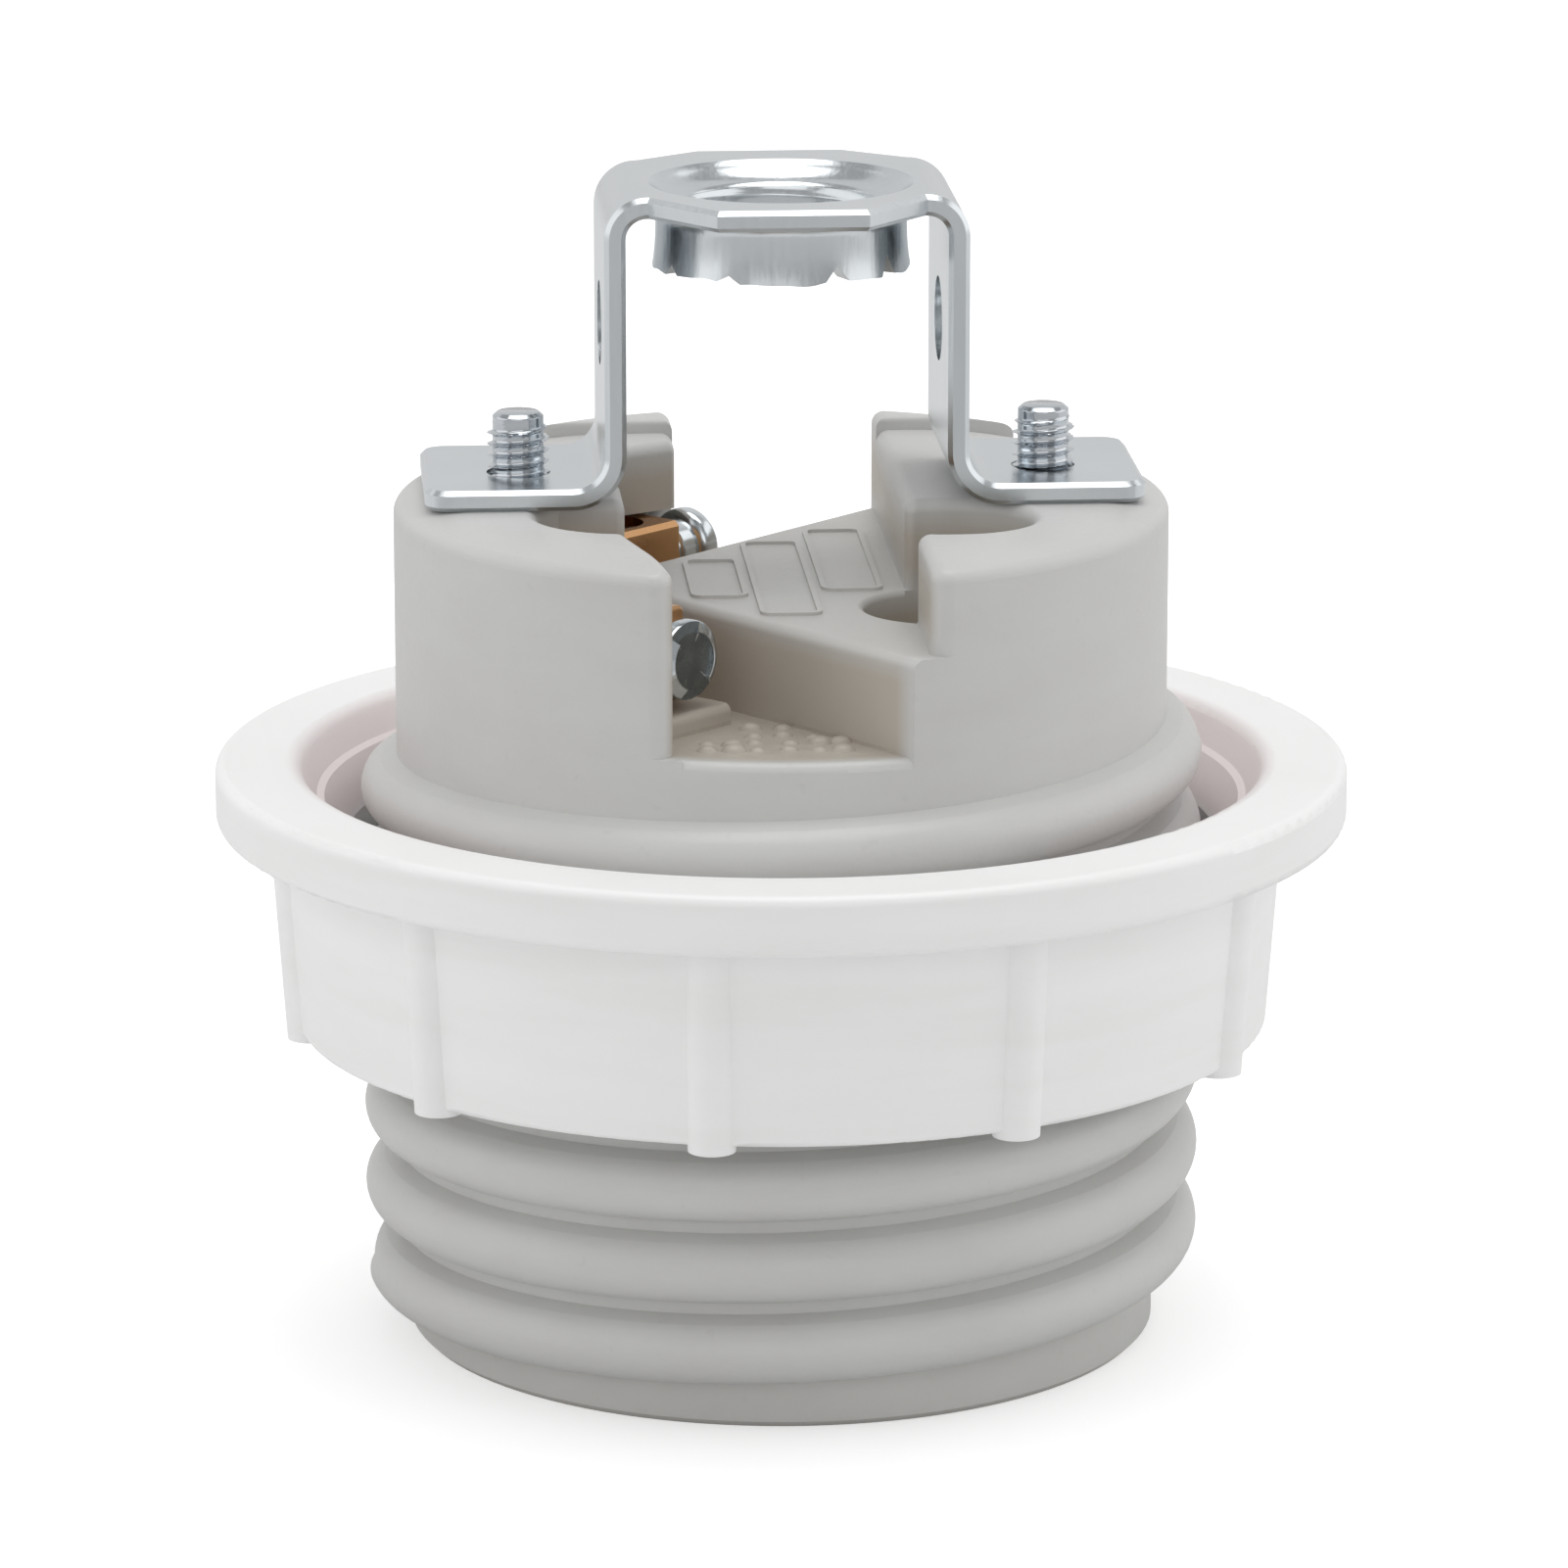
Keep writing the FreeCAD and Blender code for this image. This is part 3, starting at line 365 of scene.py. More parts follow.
def body_moulding():
    material, net = new_material("body_moulding")
    spot = place(net)
    _, y, height, radius = measured(net, spot)
    clouds = noise(net, spot, 70.0, 4.0)
    flow = noise(net, place(net, (1.0, 1.0, 3.5)), 160.0, 4.0)
    grain = noise(net, spot, 3200.0, 2.0)
    specks = stretch(net, noise(net, spot, 1500.0, 1.0), 0.70, 0.78, 0.0, 0.12)
    tint = stretch(net, clouds * 0.6 + flow * 0.4, 0.36, 0.64, 0.0, 1.0)
    colour = blend(net, tint, srgb(202, 201, 199), srgb(207, 207, 205))
    # painted shade: the well's walls and floors darker and browner, as the warm bounced light in
    # it
    colour = blend(net, well_painted_shade_share(net, height, radius) * 0.9, colour, srgb(187, 179, 167))
    colour = blend(net, specks, colour, srgb(180, 177, 172))
    roughness = stretch(net, grain * 0.5 + flow * 0.5, 0.35, 0.65, 0.36, 0.48)
    ripple = net.add("ShaderNodeTexVoronoi", {"Vector": place(net, (1.0, 1.5, 1.0)),
                                              "Scale": 760.0, "Smoothness": 0.5},
                     feature="SMOOTH_F1")
    relief = grain * 0.35 + noise(net, spot, 420.0, 2.0)
    relief = relief - ripple * notch_floor_share(net, y, height, radius) * 1.5
    return finish_material(material, net, colour, roughness, relief, skin_relief,
                           Specular_IOR_Level=0.6)


materials = {"body_moulding": body_moulding()}
print("body moulding", len(materials["body_moulding"].node_tree.nodes), "nodes")


# %% [markdown]
# ## White moulding of the shade ring
# The ring is an injected thermoplastic, smoother than the body, with streaks where the melt ran
# round. A faint pink reflection is painted at both sides of its bowl. A coloured lamp would
# tint everything near it; a colour that fades in by distance from the axis stays in the bowl.

# %% Ring moulding
bowl_rim, bowl_height, pink_reflection_sides = (0.0236, 0.0226), (0.0236, 0.0244), (0.010, 0.019)


def ring_moulding():
    material, net = new_material("ring_moulding")
    streaks = noise(net, place(net, (1.0, 1.0, 9.0)), 60.0, 5.0)
    grain = noise(net, place(net), 2400.0, 2.0)
    tint = stretch(net, streaks, 0.35, 0.65, 0.0, 1.0)
    colour = blend(net, tint, srgb(246, 246, 245), srgb(250, 250, 250))
    x, _, height, radius = measured(net, place(net))
    bowl = stretch(net, radius, *bowl_rim, 0.0, 1.0)
    bowl = bowl * stretch(net, height, *bowl_height, 0.0, 1.0)
    sides = stretch(net, x.math("ABSOLUTE"), *pink_reflection_sides, 0.15, 1.0)
    # painted reflection: faint pink at both sides of the bowl
    colour = blend(net, bowl * sides * 0.75, colour, srgb(238, 222, 222))
    roughness = stretch(net, grain * 0.5 + streaks * 0.5, 0.35, 0.65, 0.34, 0.46)
    return finish_material(material, net, colour, roughness, grain * 0.3 + streaks, skin_relief)


materials["ring_moulding"] = ring_moulding()
print("ring moulding", len(materials["ring_moulding"].node_tree.nodes), "nodes")


# %% [markdown]
# ## Plated steel and brass
# The bracket and screws are zinc-plated steel, and the terminals and contacts are brass. Metal
# is nearly all reflection, so its colour matters less than how sharp the reflection is. Noise
# pulled out along the strip stands for the lines of rolling, and a coarser one for the clouds in
# the plate or the tarnish.

# %% Metal finishes
def plated_steel(name, light, dark, low, high, scale):
    """Zinc plate over steel: fine drawn lines one way and a slight cloudiness."""
    material, net = new_material(name)
    lines = noise(net, place(net, scale), 900.0, 3.0)
    clouds = noise(net, place(net), 90.0, 2.0)
    tint = stretch(net, clouds * 0.6 + lines * 0.4, 0.38, 0.62, 0.0, 1.0)
    colour = blend(net, tint, srgb(*dark), srgb(*light))
    roughness = stretch(net, lines * 0.7 + clouds * 0.3, 0.38, 0.62, low, high)
    return finish_material(material, net, colour, roughness, lines, 0.000004, Metallic=1.0)


def brass(name, light, dark, low, high):
    """Drawn or cut brass: faint tarnish clouds, a little grain."""
    material, net = new_material(name)
    stains = noise(net, place(net), 240.0, 4.0)
    tint = stretch(net, stains, 0.3, 0.7, 0.0, 1.0)
    colour = blend(net, tint, srgb(*dark), srgb(*light))
    roughness = stretch(net, stains, 0.3, 0.7, low, high)
    grain = noise(net, place(net), 1500.0, 2.0)
    return finish_material(material, net, colour, roughness, grain, 0.000005, Metallic=1.0)


even = (1.0, 1.0, 1.0)
for name, light, dark, low, high, scale in (
        ("bracket_steel", (218, 222, 225), (209, 214, 217), 0.18, 0.27, (6.0, 6.0, 0.5)),
        ("screw_steel", (208, 212, 216), (194, 199, 204), 0.08, 0.14, (1.0, 1.0, 5.0)),
        ("clamp_steel", (216, 221, 224), (202, 208, 212), 0.12, 0.2, even),
        # a darker steel: painted shade in the dish and gaps of the clamp screws
        ("clamp_recess_painted_shade", (142, 150, 154), (118, 126, 131), 0.2, 0.3, even),
        ("spring_steel", (190, 192, 196), (160, 163, 168), 0.25, 0.4, even)):
    materials[name] = plated_steel(name, light, dark, low, high, scale)
for name, light, dark, low, high in (
        ("terminal_brass", (214, 168, 122), (194, 146, 100), 0.24, 0.34),
        ("shell_brass", (214, 186, 122), (196, 164, 100), 0.22, 0.34)):
    materials[name] = brass(name, light, dark, low, high)
print("metals", sorted(set(materials) - {"body_moulding", "ring_moulding"}))


# %% [markdown]
# ## Finishes on the frame's own nodes
# Every node gets the finish of its real piece, also the ones that pieces made below stand for.
# The material goes into the node's slot, and its mesh isn't touched.

# %% Give each node its finish
slots = {"body": "body_moulding", "shade_ring": "ring_moulding", "bracket": "bracket_steel",
         "screw_shell": "shell_brass", "live_strip": "shell_brass", "neutral_strip": "shell_brass",
         "centre_contact": "shell_brass", "contact_spring": "spring_steel"}
for name in nodes:
    if name.startswith("terminal_block"):
        slots[name] = "terminal_brass"
    elif name not in slots:
        slots[name] = "screw_steel"
    nodes[name].data.materials.clear()
    nodes[name].data.materials.append(materials[slots[name]])
print("finishes", sorted(set(slots.values())))


# %% [markdown]
# ## Threads
# A thread is a cylinder whose radius goes up and down with height less angle. It could be swept
# along a helix, but then its ends have to be faded by hand. Three trees make the threads that
# the frame holds as plain cylinders: a rod, for the rolled screws; a sleeve, for the tapped
# collar of the bracket; and a cup, for the drawn shell of the socket. Each is one grid rolled up
# round Z, with its pitch, radii and ends as inputs.

# %% Start and close a geometry tree
def new_tree(name, **wanted):
    """A geometry tree with named number inputs, a material and two counts."""
    tree = bpy.data.node_groups.new(name, "GeometryNodeTree")
    for title, value in wanted.items():
        title = title.replace("_", " ")
        socket = tree.interface.new_socket(title, in_out="INPUT", socket_type="NodeSocketFloat")
        socket.default_value = value
    tree.interface.new_socket("Material", in_out="INPUT", socket_type="NodeSocketMaterial")
    for title, value in (("Rows", 120), ("Columns", 48)):
        socket = tree.interface.new_socket(title, in_out="INPUT", socket_type="NodeSocketInt")
        socket.default_value = value
    tree.interface.new_socket("Geometry", in_out="OUTPUT", socket_type="NodeSocketGeometry")
    net = Net(tree)
    inputs = tree.nodes.new("NodeGroupInput")
    return net, {socket.name: Flow(net, socket) for socket in inputs.outputs if socket.name}


def end_tree(net, given, shape):
    """Makes the geometry real, gives it its material and puts it out."""
    shape = net.add("GeometryNodeRealizeInstances", {"Geometry": shape})
    shape = net.add("GeometryNodeSetMaterial", {"Geometry": shape, "Material": given["Material"]})
    output = net.tree.nodes.new("NodeGroupOutput")
    net.tree.links.new(shape.socket, output.inputs["Geometry"])
    return net.tree


# %% Roll a grid up round Z
weld_distance = 1e-7    # points closer than this, in metres, are one


def rolled_grid(net, given):
    """The flat grid: how far along it is (0 to 1), its turn round Z and one row's share."""
    grid = net.add("GeometryNodeMeshGrid", {"Size X": 1.0, "Size Y": 1.0,
                                            "Vertices X": given["Columns"] + 1.0,
                                            "Vertices Y": given["Rows"]})
    x = net.add("ShaderNodeSeparateXYZ", {0: net.add("GeometryNodeInputPosition")})
    along = Flow(net, x.socket.node.outputs["Y"]) + 0.5
    return grid, along, (x + 0.5) * (2 * math.pi), 1.0 / (given["Rows"] - 1.0)


def close_roll(net, given, grid, radius, turn, height):
    """Rolls the grid up, welds its seam and closes the tree."""
    rolled = net.add("ShaderNodeCombineXYZ", {"X": radius * turn.math("COSINE"),
                                              "Y": radius * turn.math("SINE"), "Z": height})
    shape = net.add("GeometryNodeSetPosition", {"Geometry": grid, "Position": rolled})
    shape = net.add("GeometryNodeMergeByDistance", {"Geometry": shape,
                                                    "Distance": weld_distance})
    return end_tree(net, given, shape)


def crest_share(height, turn, pitch):
    """0 in the root of a right-hand thread, 1 on its crest."""
    return (height / pitch - turn / (2 * math.pi)).math("PINGPONG", 0.5) * 2.0


# %% Rod with a rolled thread
def rod_tree():
    net, given = new_tree("threaded_rod", Length=0.005, Core_Radius=0.0012, Crest_Radius=0.0015,
                          Pitch=0.0005, Sharpness=3.0, Point_Length=0.0005, Point_Bevel=0.00025)
    grid, along, turn, row = rolled_grid(net, given)
    length, core = given["Length"], given["Core Radius"]
    height = stretch(net, along, row, 1.0 - row, 0.0, length)
    form = crest_share(height, turn, given["Pitch"]).math("POWER", given["Sharpness"])
    fade = stretch(net, height, length - given["Point Length"] - given["Pitch"],
                   length - given["Point Length"], 1.0, 0.0)
    radius = core + (given["Crest Radius"] - core) * form * fade
    point_slope = 1.2
    at_point = core - given["Point Bevel"] + (length - height) * point_slope
    radius = radius.math("MINIMUM", at_point)
    # The first and last row are drawn together on the axis, which closes both ends.
    radius = radius * along.math("GREATER_THAN", row * 0.5)
    radius = radius * along.math("LESS_THAN", 1.0 - row * 0.5)
    return close_roll(net, given, grid, radius, turn, height)


# %% Thin sleeve with an inside thread
def sleeve_tree():
    net, given = new_tree("tapped_sleeve", Length=0.003, Outer_Radius=0.0047, Bore_Radius=0.0046,
                          Thread_Depth=0.0003, Pitch=0.001, Sharpness=1.6)
    grid, along, turn, _ = rolled_grid(net, given)
    length, pitch, outer = given["Length"], given["Pitch"], given["Outer Radius"]
    # The grid runs up the outside and down the inside, so it closes on itself at both ends.
    inside = along.math("GREATER_THAN", 0.5)
    height = along.math("PINGPONG", 0.5) * 2.0 * length
    form = crest_share(height, turn, pitch).math("POWER", given["Sharpness"])
    run_out = pitch * 0.8
    ends = stretch(net, height, 0.0, run_out, 0.0, 1.0)
    ends = ends * stretch(net, height, length - run_out, length, 1.0, 0.0)
    depth = outer - given["Bore Radius"] + given["Thread Depth"] * form
    return close_roll(net, given, grid, outer - depth * ends * inside, turn, height)


# %% Cup with a round rolled thread
# In metres: where the thread starts above the open end, and where it stops below the base. The
# cup stands upside down: its flat base is at the top, and its lip is at the open end.
thread_start, thread_stop, lip_height = (0.0009, 0.0024), (0.0046, 0.0026), 0.0007


def cup_tree():
    net, given = new_tree("rolled_cup", Hole_Radius=0.006, Radius=0.0131, Bottom=0.0068,
                          Top=0.0243, Wall=0.0004, Thread_Depth=0.0009, Pitch=0.003629,
                          Bend=0.0008, Lip=0.0004)
    grid, along, turn, _ = rolled_grid(net, given)
    bottom, top, bend = given["Bottom"], given["Top"], given["Bend"]
    hole = given["Hole Radius"]
    # Each face of the sheet is one half of the grid: -1 on the first, 1 on the second.
    side = along.math("GREATER_THAN", 0.5) * 2.0 - 1.0
    span = given["Radius"] - hole
    path = along.math("PINGPONG", 0.5) * 2.0 * (span + top - bottom)
    # The wall's share grows from 0 on the flat base to 1 past the bend.
    wall = stretch(net, path, span - bend, span + bend, 0.0, 1.0)
    round_off = (wall * (1.0 - wall)) * bend
    height = top - (path - span).math("MAXIMUM", 0.0) - round_off
    form = ((crest_share(height, turn, given["Pitch"]) - 0.5) * 1.5).math("SINE")
    ends = stretch(net, height, *(bottom + rise for rise in thread_start), 0.0, 1.0)
    ends = ends * stretch(net, height, *(top - drop for drop in thread_stop), 1.0, 0.0)
    lip = stretch(net, height, bottom, bottom + lip_height, 1.0, 0.0)
    radius = hole + path.math("MINIMUM", span) - round_off
    radius = radius - given["Thread Depth"] * (form * 0.5 + 0.5) * ends + given["Lip"] * lip
    half = given["Wall"] * 0.5
    radius = radius + half * side * wall
    height = height + half * side * (1.0 - wall)
    return close_roll(net, given, grid, radius, turn, height)


# %% Run a tree and keep the plain mesh
no_area = 1e-16    # in square metres


def run_tree(tree, **values):
    """Runs a geometry tree once and gives back the plain mesh, faces outward."""
    carrier = bpy.data.objects.new("carrier", bpy.data.meshes.new("carrier"))
    bpy.context.scene.collection.objects.link(carrier)
    modifier = carrier.modifiers.new("tree", "NODES")
    modifier.node_group = tree
    named = {title.replace("_", " "): value for title, value in values.items()}
    for item in tree.interface.items_tree:
        if item.in_out == "INPUT" and item.name in named:
            modifier[item.identifier] = named[item.name]
    bpy.context.view_layer.update()
    graph = bpy.context.evaluated_depsgraph_get()
    mesh = bpy.data.meshes.new_from_object(carrier.evaluated_get(graph))
    bpy.data.objects.remove(carrier)
    work = bmesh.new()
    work.from_mesh(mesh)
    flat = [face for face in work.faces if face.calc_area() < no_area]
    bmesh.ops.delete(work, geom=flat, context="FACES_ONLY")
    bmesh.ops.dissolve_degenerate(work, edges=work.edges, dist=weld_distance)
    bmesh.ops.recalc_face_normals(work, faces=work.faces)
    work.to_mesh(mesh)
    work.free()
    mesh.shade_smooth()
    return mesh


def open_edges(mesh):
    """Edges that don't join exactly two faces; a closed shape has none."""
    work = bmesh.new()
    work.from_mesh(mesh)
    count = sum(1 for edge in work.edges if len(edge.link_faces) != 2)
    work.free()
    return count


trees = {"rod": rod_tree(), "sleeve": sleeve_tree(), "cup": cup_tree()}
print("trees", {name: len(tree.nodes) for name, tree in trees.items()})


# %% [markdown]
# ## Copies of the frame's nodes
# Some pieces keep part of a node's shape. A node's mesh is loose triangles and must stay as it
# is, so the work is done on a welded copy. The copy is built again from its points and faces
# alone, because shading data carried over from the old surface would smear on the new one.

# %% Welded copies and joined meshes
def welded(node):
    """A node's triangles, joined where they touch, to be worked on."""
    work = bmesh.new()
    work.from_mesh(nodes[node].data)
    bmesh.ops.remove_doubles(work, verts=work.verts, dist=weld_distance)
    return work


def plain_mesh(name, work, degrees=32.0):
    """The work as a mesh with nothing but its shape, smooth except at edges over an angle."""
    work.verts.index_update()
    mesh = bpy.data.meshes.new(name)
    mesh.from_pydata([vert.co[:] for vert in work.verts], [],
                     [[vert.index for vert in face.verts] for face in work.faces])
    work.free()
    mesh.shade_smooth()
    mesh.set_sharp_from_angle(angle=math.radians(degrees))
    return mesh


def cut_off_above(work, height):
    """Keeps what is below a height, and caps it there."""
    everything = work.verts[:] + work.edges[:] + work.faces[:]
    cut = bmesh.ops.bisect_plane(work, geom=everything, plane_co=(0, 0, height),
                                 plane_no=(0, 0, 1), clear_outer=True)
    rim = [item for item in cut["geom_cut"] if isinstance(item, bmesh.types.BMEdge)]
    bmesh.ops.holes_fill(work, edges=rim, sides=0)
    bmesh.ops.recalc_face_normals(work, faces=work.faces)


def joined(name, meshes, degrees):
    """Several meshes as one, each placed by its matrix."""
    work = bmesh.new()
    for mesh, matrix in meshes:
        part = mesh.copy()
        part.transform(matrix)
        work.from_mesh(part)
        bpy.data.meshes.remove(part)
    return plain_mesh(name, work, degrees)


# %% [markdown]
# ## Screws that hold the bracket
# Each is a rolled M3 screw, screwed up through the tapped foot, and its end stands above the
# foot with a plain rounded point. Cutting the thread into the frame's solid would cost it many
# faces for a detail this small. So the head with its cross recess is the frame's own shape, cut
# off under the shank, and the shank is the rod tree.

# %% Bracket screws
screw_head_height = 1.9 * MM
shank_overlap = 0.2 * MM
for side, start in (("left", 200.0), ("right", 60.0)):
    node = f"bracket_screw_{side}"
    low, high = (Vector(corner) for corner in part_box(node))
    middle = (low + high) / 2
    seat = low.z + screw_head_height
    work = welded(node)
    cut_off_above(work, seat)
    head = plain_mesh(f"{node}_head", work)
    shank = run_tree(trees["rod"], Length=high.z - seat + shank_overlap, Core_Radius=1.2 * MM,
                     Crest_Radius=1.5 * MM, Pitch=0.53 * MM, Sharpness=4.0,
                     Point_Length=0.45 * MM, Point_Bevel=0.22 * MM, Rows=520, Columns=44)
    stand = Matrix.Translation((middle.x, middle.y, seat - shank_overlap))
    stand = stand @ Matrix.Rotation(math.radians(start), 4, "Z")
    mesh = joined(f"{node}_threaded", ((head, Matrix.Identity(4)), (shank, stand)), 62.0)
    piece = piece_from_mesh(f"{node}_threaded", mesh, materials["screw_steel"])
    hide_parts(node)
    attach(piece, "holder")
    print(piece.name, "faces", len(mesh.polygons), "open edges", open_edges(mesh))


# %% [markdown]
# ## Clamp screws
# The face of the front one is all that shows: a ring turned bright and bevelled, broken by a
# wide gap for the driver, round a dished middle. The rear one shows its domed side from behind
# the block. A cylinder cut by a box would have knife edges, so head and face are one closed
# surface of revolution whose profile steps down in the gaps. The shank is the rod tree.

# %% Head of a clamp screw
# Radius and height in millimetres, from under the head round to the middle of its face.
face_middle, head_bottom = -0.3, -2.2
side_profile = [(1.45, head_bottom), (1.45, -1.24), (1.52, -1.2), (1.74, -1.12), (1.84, -0.95),
                (1.87, -0.72)]
raised_profile = [(1.87, -0.46), (1.86, -0.34), (1.81, -0.25), (1.38, 0.0), (1.33, -0.02),
                  (1.30, -0.2)]
gap_profile = [(1.87, -0.46), (1.86, -0.36), (1.82, -0.29), (1.36, -0.26), (1.32, -0.25),
               (1.29, -0.25)]
dish_profile = [(0.9, -0.27), (0.45, -0.29)]
raised_arcs = ((47.0, 159.0), (227.0, 339.0))


def clamp_head(name):
    """Made along +Z, the highest ring of the face at z 0."""
    angles = set(range(0, 360, 4))
    for arc in raised_arcs:
        for edge in arc:
            angles |= {edge - 1.2, edge + 1.2}    # a steep flank at each end of an arc
    angles = sorted(angles)
    verts = []
    for angle in angles:
        turn = math.radians(angle)
        raised = any(first < angle < last for first, last in raised_arcs)
        ring = raised_profile if raised else gap_profile
        for radius, height in side_profile + ring + dish_profile:
            verts.append((radius * MM * math.cos(turn), radius * MM * math.sin(turn), height * MM))
    count = len(verts) // len(angles)
    columns = [(column * count, (column + 1) % len(angles) * count)
               for column in range(len(angles))]
    faces = [(here + row, after + row, after + row + 1, here + row + 1)
             for here, after in columns for row in range(count - 1)]
    verts += [(0, 0, face_middle * MM), (0, 0, head_bottom * MM)]
    for here, after in columns:
        faces.append((here + count - 1, after + count - 1, len(verts) - 2))
        faces.append((after, here, len(verts) - 1))
    mesh = bpy.data.meshes.new(name)
    mesh.from_pydata(verts, [], faces)
    return mesh


# %% Painted shade in the recess
recess_r, recess_low, recess_high, nearly_level = 1.84 * MM, -0.31 * MM, -0.18 * MM, 0.9


def paint_recess_shade(mesh, outward):
    """The level faces of the dish and the gaps take the second material, a darker steel: painted
    shade.
    """
    back = outward.inverted()
    for polygon in mesh.polygons:
        spot = back @ polygon.center
        level = abs((back.to_3x3() @ polygon.normal).z)
        sunk = recess_low < spot.z < recess_high
        if math.hypot(spot.x, spot.y) < recess_r and sunk and level > nearly_level:
            polygon.material_index = 1


# %% Both clamp screws
block_x, block_y, clamp_axis_z = -5.7 * MM, 11.06 * MM, 35.1 * MM    # where the blocks stand
shank_start = 1.25    # in millimetres, from the face
for side, sign, face in (("front", -1, 1.3), ("rear", 1, 3.3)):
    node = f"terminal_screw_{side}"
    head = clamp_head(f"{node}_head")
    shank = run_tree(trees["rod"], Length=3.9 * MM, Core_Radius=1.17 * MM, Crest_Radius=1.46 * MM,
                     Pitch=0.5 * MM, Sharpness=2.0, Point_Length=0.3 * MM, Point_Bevel=0.25 * MM,
                     Rows=150, Columns=40)
    axis = Matrix.Translation((block_x, sign * block_y, clamp_axis_z))
    axis = axis @ Matrix.Rotation(math.radians(45.0 * sign), 4, "Z")
    axis = axis @ Matrix.Rotation(math.radians(90.0), 4, "Y")
    outward = axis @ Matrix.Translation((0, 0, face * MM))
    inward = axis @ Matrix.Translation((0, 0, (face - shank_start) * MM))
    inward = inward @ Matrix.Rotation(math.pi, 4, "X")
    mesh = joined(f"{node}_detailed", ((head, outward), (shank, inward)), 40.0)
    piece = piece_from_mesh(f"{node}_detailed", mesh, materials["clamp_steel"])
    mesh.materials.append(materials["clamp_recess_painted_shade"])
    # painted shade: the level faces of the dish and the gaps take the darker steel
    paint_recess_shade(mesh, outward)
    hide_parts(node)
    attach(piece, f"clamp_{side}")
    print(piece.name, "faces", len(mesh.polygons), "open edges", open_edges(mesh))


# %% [markdown]
# ## Front terminal block
# In the photograph the front block stays hidden behind the corner of the well, with only its
# screw showing. The frame's block has the size that such blocks have, and its source keeps it.
# So a welded copy stands for it, with its end sawn shorter, both upright corners of that end
# filed off, and the wire hole drilled a little narrower and further in.

# %% Shorten the front block
hole_centre, new_hole_centre, hole_reach = -2.6 * MM, -2.8 * MM, 1.52 * MM
hole_share, sawn_off, filed_off = 0.83, 0.85 * MM, 0.35 * MM
end_start = -0.3 * MM
corner_start, corner_width, corner_pull = 1.9 * MM, 0.3 * MM, 0.2


def shortened(spot):
    """Moves a point of the block, in the block's own axes with its end at x 0."""
    off = Vector((spot.x - hole_centre, spot.y, 0))
    if off.length < hole_reach:
        spot.x, spot.y = new_hole_centre + off.x * hole_share, off.y * hole_share
    elif spot.x > end_start:
        spot.x -= sawn_off
        if abs(spot.y) > corner_start:
            share = (abs(spot.y) - corner_start) / corner_width
            spot.x -= filed_off * share
            spot.y *= 1.0 - corner_pull * (1.0 - share)
    return spot


turned = Matrix.Translation((block_x, -block_y, 0)) @ Matrix.Rotation(math.radians(-45.0), 4, "Z")
to_block = turned.inverted()
work = welded("terminal_block_front")
for vert in work.verts:
    vert.co = turned @ shortened(to_block @ vert.co)
bmesh.ops.recalc_face_normals(work, faces=work.faces)
mesh = plain_mesh("terminal_block_short", work, 30.0)
block = piece_from_mesh("terminal_block_short", mesh, materials["terminal_brass"])
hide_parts("terminal_block_front")
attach(block, "holder")
print("front block faces", len(mesh.polygons), "open edges", open_edges(mesh))


# %% [markdown]
# ## Bracket with its drawn collar
# The collar is drawn down out of the plate in one stroke of the press. That leaves a dished
# mouth above, a wall that spreads a little downwards and a torn, uneven end. The frame holds a
# plain rolled mouth and a straight wall. Modelling the strip again would lose its bends and
# holes, so a welded copy of it is cut into levels and pressed into that shape.

# %% Shape that the press leaves
# Share of the way from the plate to the bore, radius and height in millimetres.
dish = ((0.0, 6.24, 55.30), (0.08, 6.12, 55.22), (0.25, 5.84, 54.90), (0.45, 5.50, 54.62),
        (0.65, 5.16, 54.46), (0.80, 4.96, 54.40), (0.90, 4.76, 54.22), (1.0, 4.60, 53.80))
roll_r, roll_middle_r, roll_middle_z = 1.5, 6.1, 53.8    # the frame's rolled mouth
mouth_limit_r, mouth_limit_z, near, wall_limit_r = 6.12, 53.79, 0.02, 6.0
wall_top_z, wall_length, wall_middle_r = 53.25, 1.85, 5.2
spread_outside, spread_inside = 0.15, 0.08


def on_dish(share):
    """Radius and height of the dished mouth, from the plate (0) to the bore (1)."""
    for first, last in zip(dish, dish[1:]):
        if share <= last[0]:
            part = (share - first[0]) / (last[0] - first[0])
            return [first[i] + (last[i] - first[i]) * part for i in (1, 2)]
    return dish[-1][1:]


def press_collar(point):
    """Moves a point of the plain collar, in millimetres, to where the press left it."""
    x, y, z = point
    radius, angle = math.hypot(x, y), math.atan2(y, x)
    new_radius, new_z = radius, z
    across, up = roll_middle_r - radius, z - roll_middle_z
    on_roll = abs(math.hypot(across, up) - roll_r) < near
    if on_roll and radius < mouth_limit_r and z > mouth_limit_z:
        share = math.atan2(across, up) / (math.pi / 2)
        new_radius, new_z = on_dish(min(max(share, 0.0), 1.0))
    elif z < wall_top_z and radius < wall_limit_r:
        low = (wall_top_z - z) / wall_length
        spread = spread_outside if radius > wall_middle_r else spread_inside
        new_radius = radius + spread * low ** 2
        # Three waves round the torn end.
        wave = 0.06 * math.sin(5 * angle + 0.6) + 0.05 * math.sin(11 * angle + 2.0)
        wave += 0.03 * math.sin(19 * angle)
        new_z = z + (wave + 0.03) * low ** 3
    return new_radius * math.cos(angle), new_radius * math.sin(angle), new_z


# %% Cut the collar into levels and press it
collar_root_r, collar_root_z = 5.95 * MM, 53.81 * MM
cut_levels, cut_step = (51.65, 51.95, 52.3, 52.65, 53.0, 53.25), 4    # millimetres, degrees


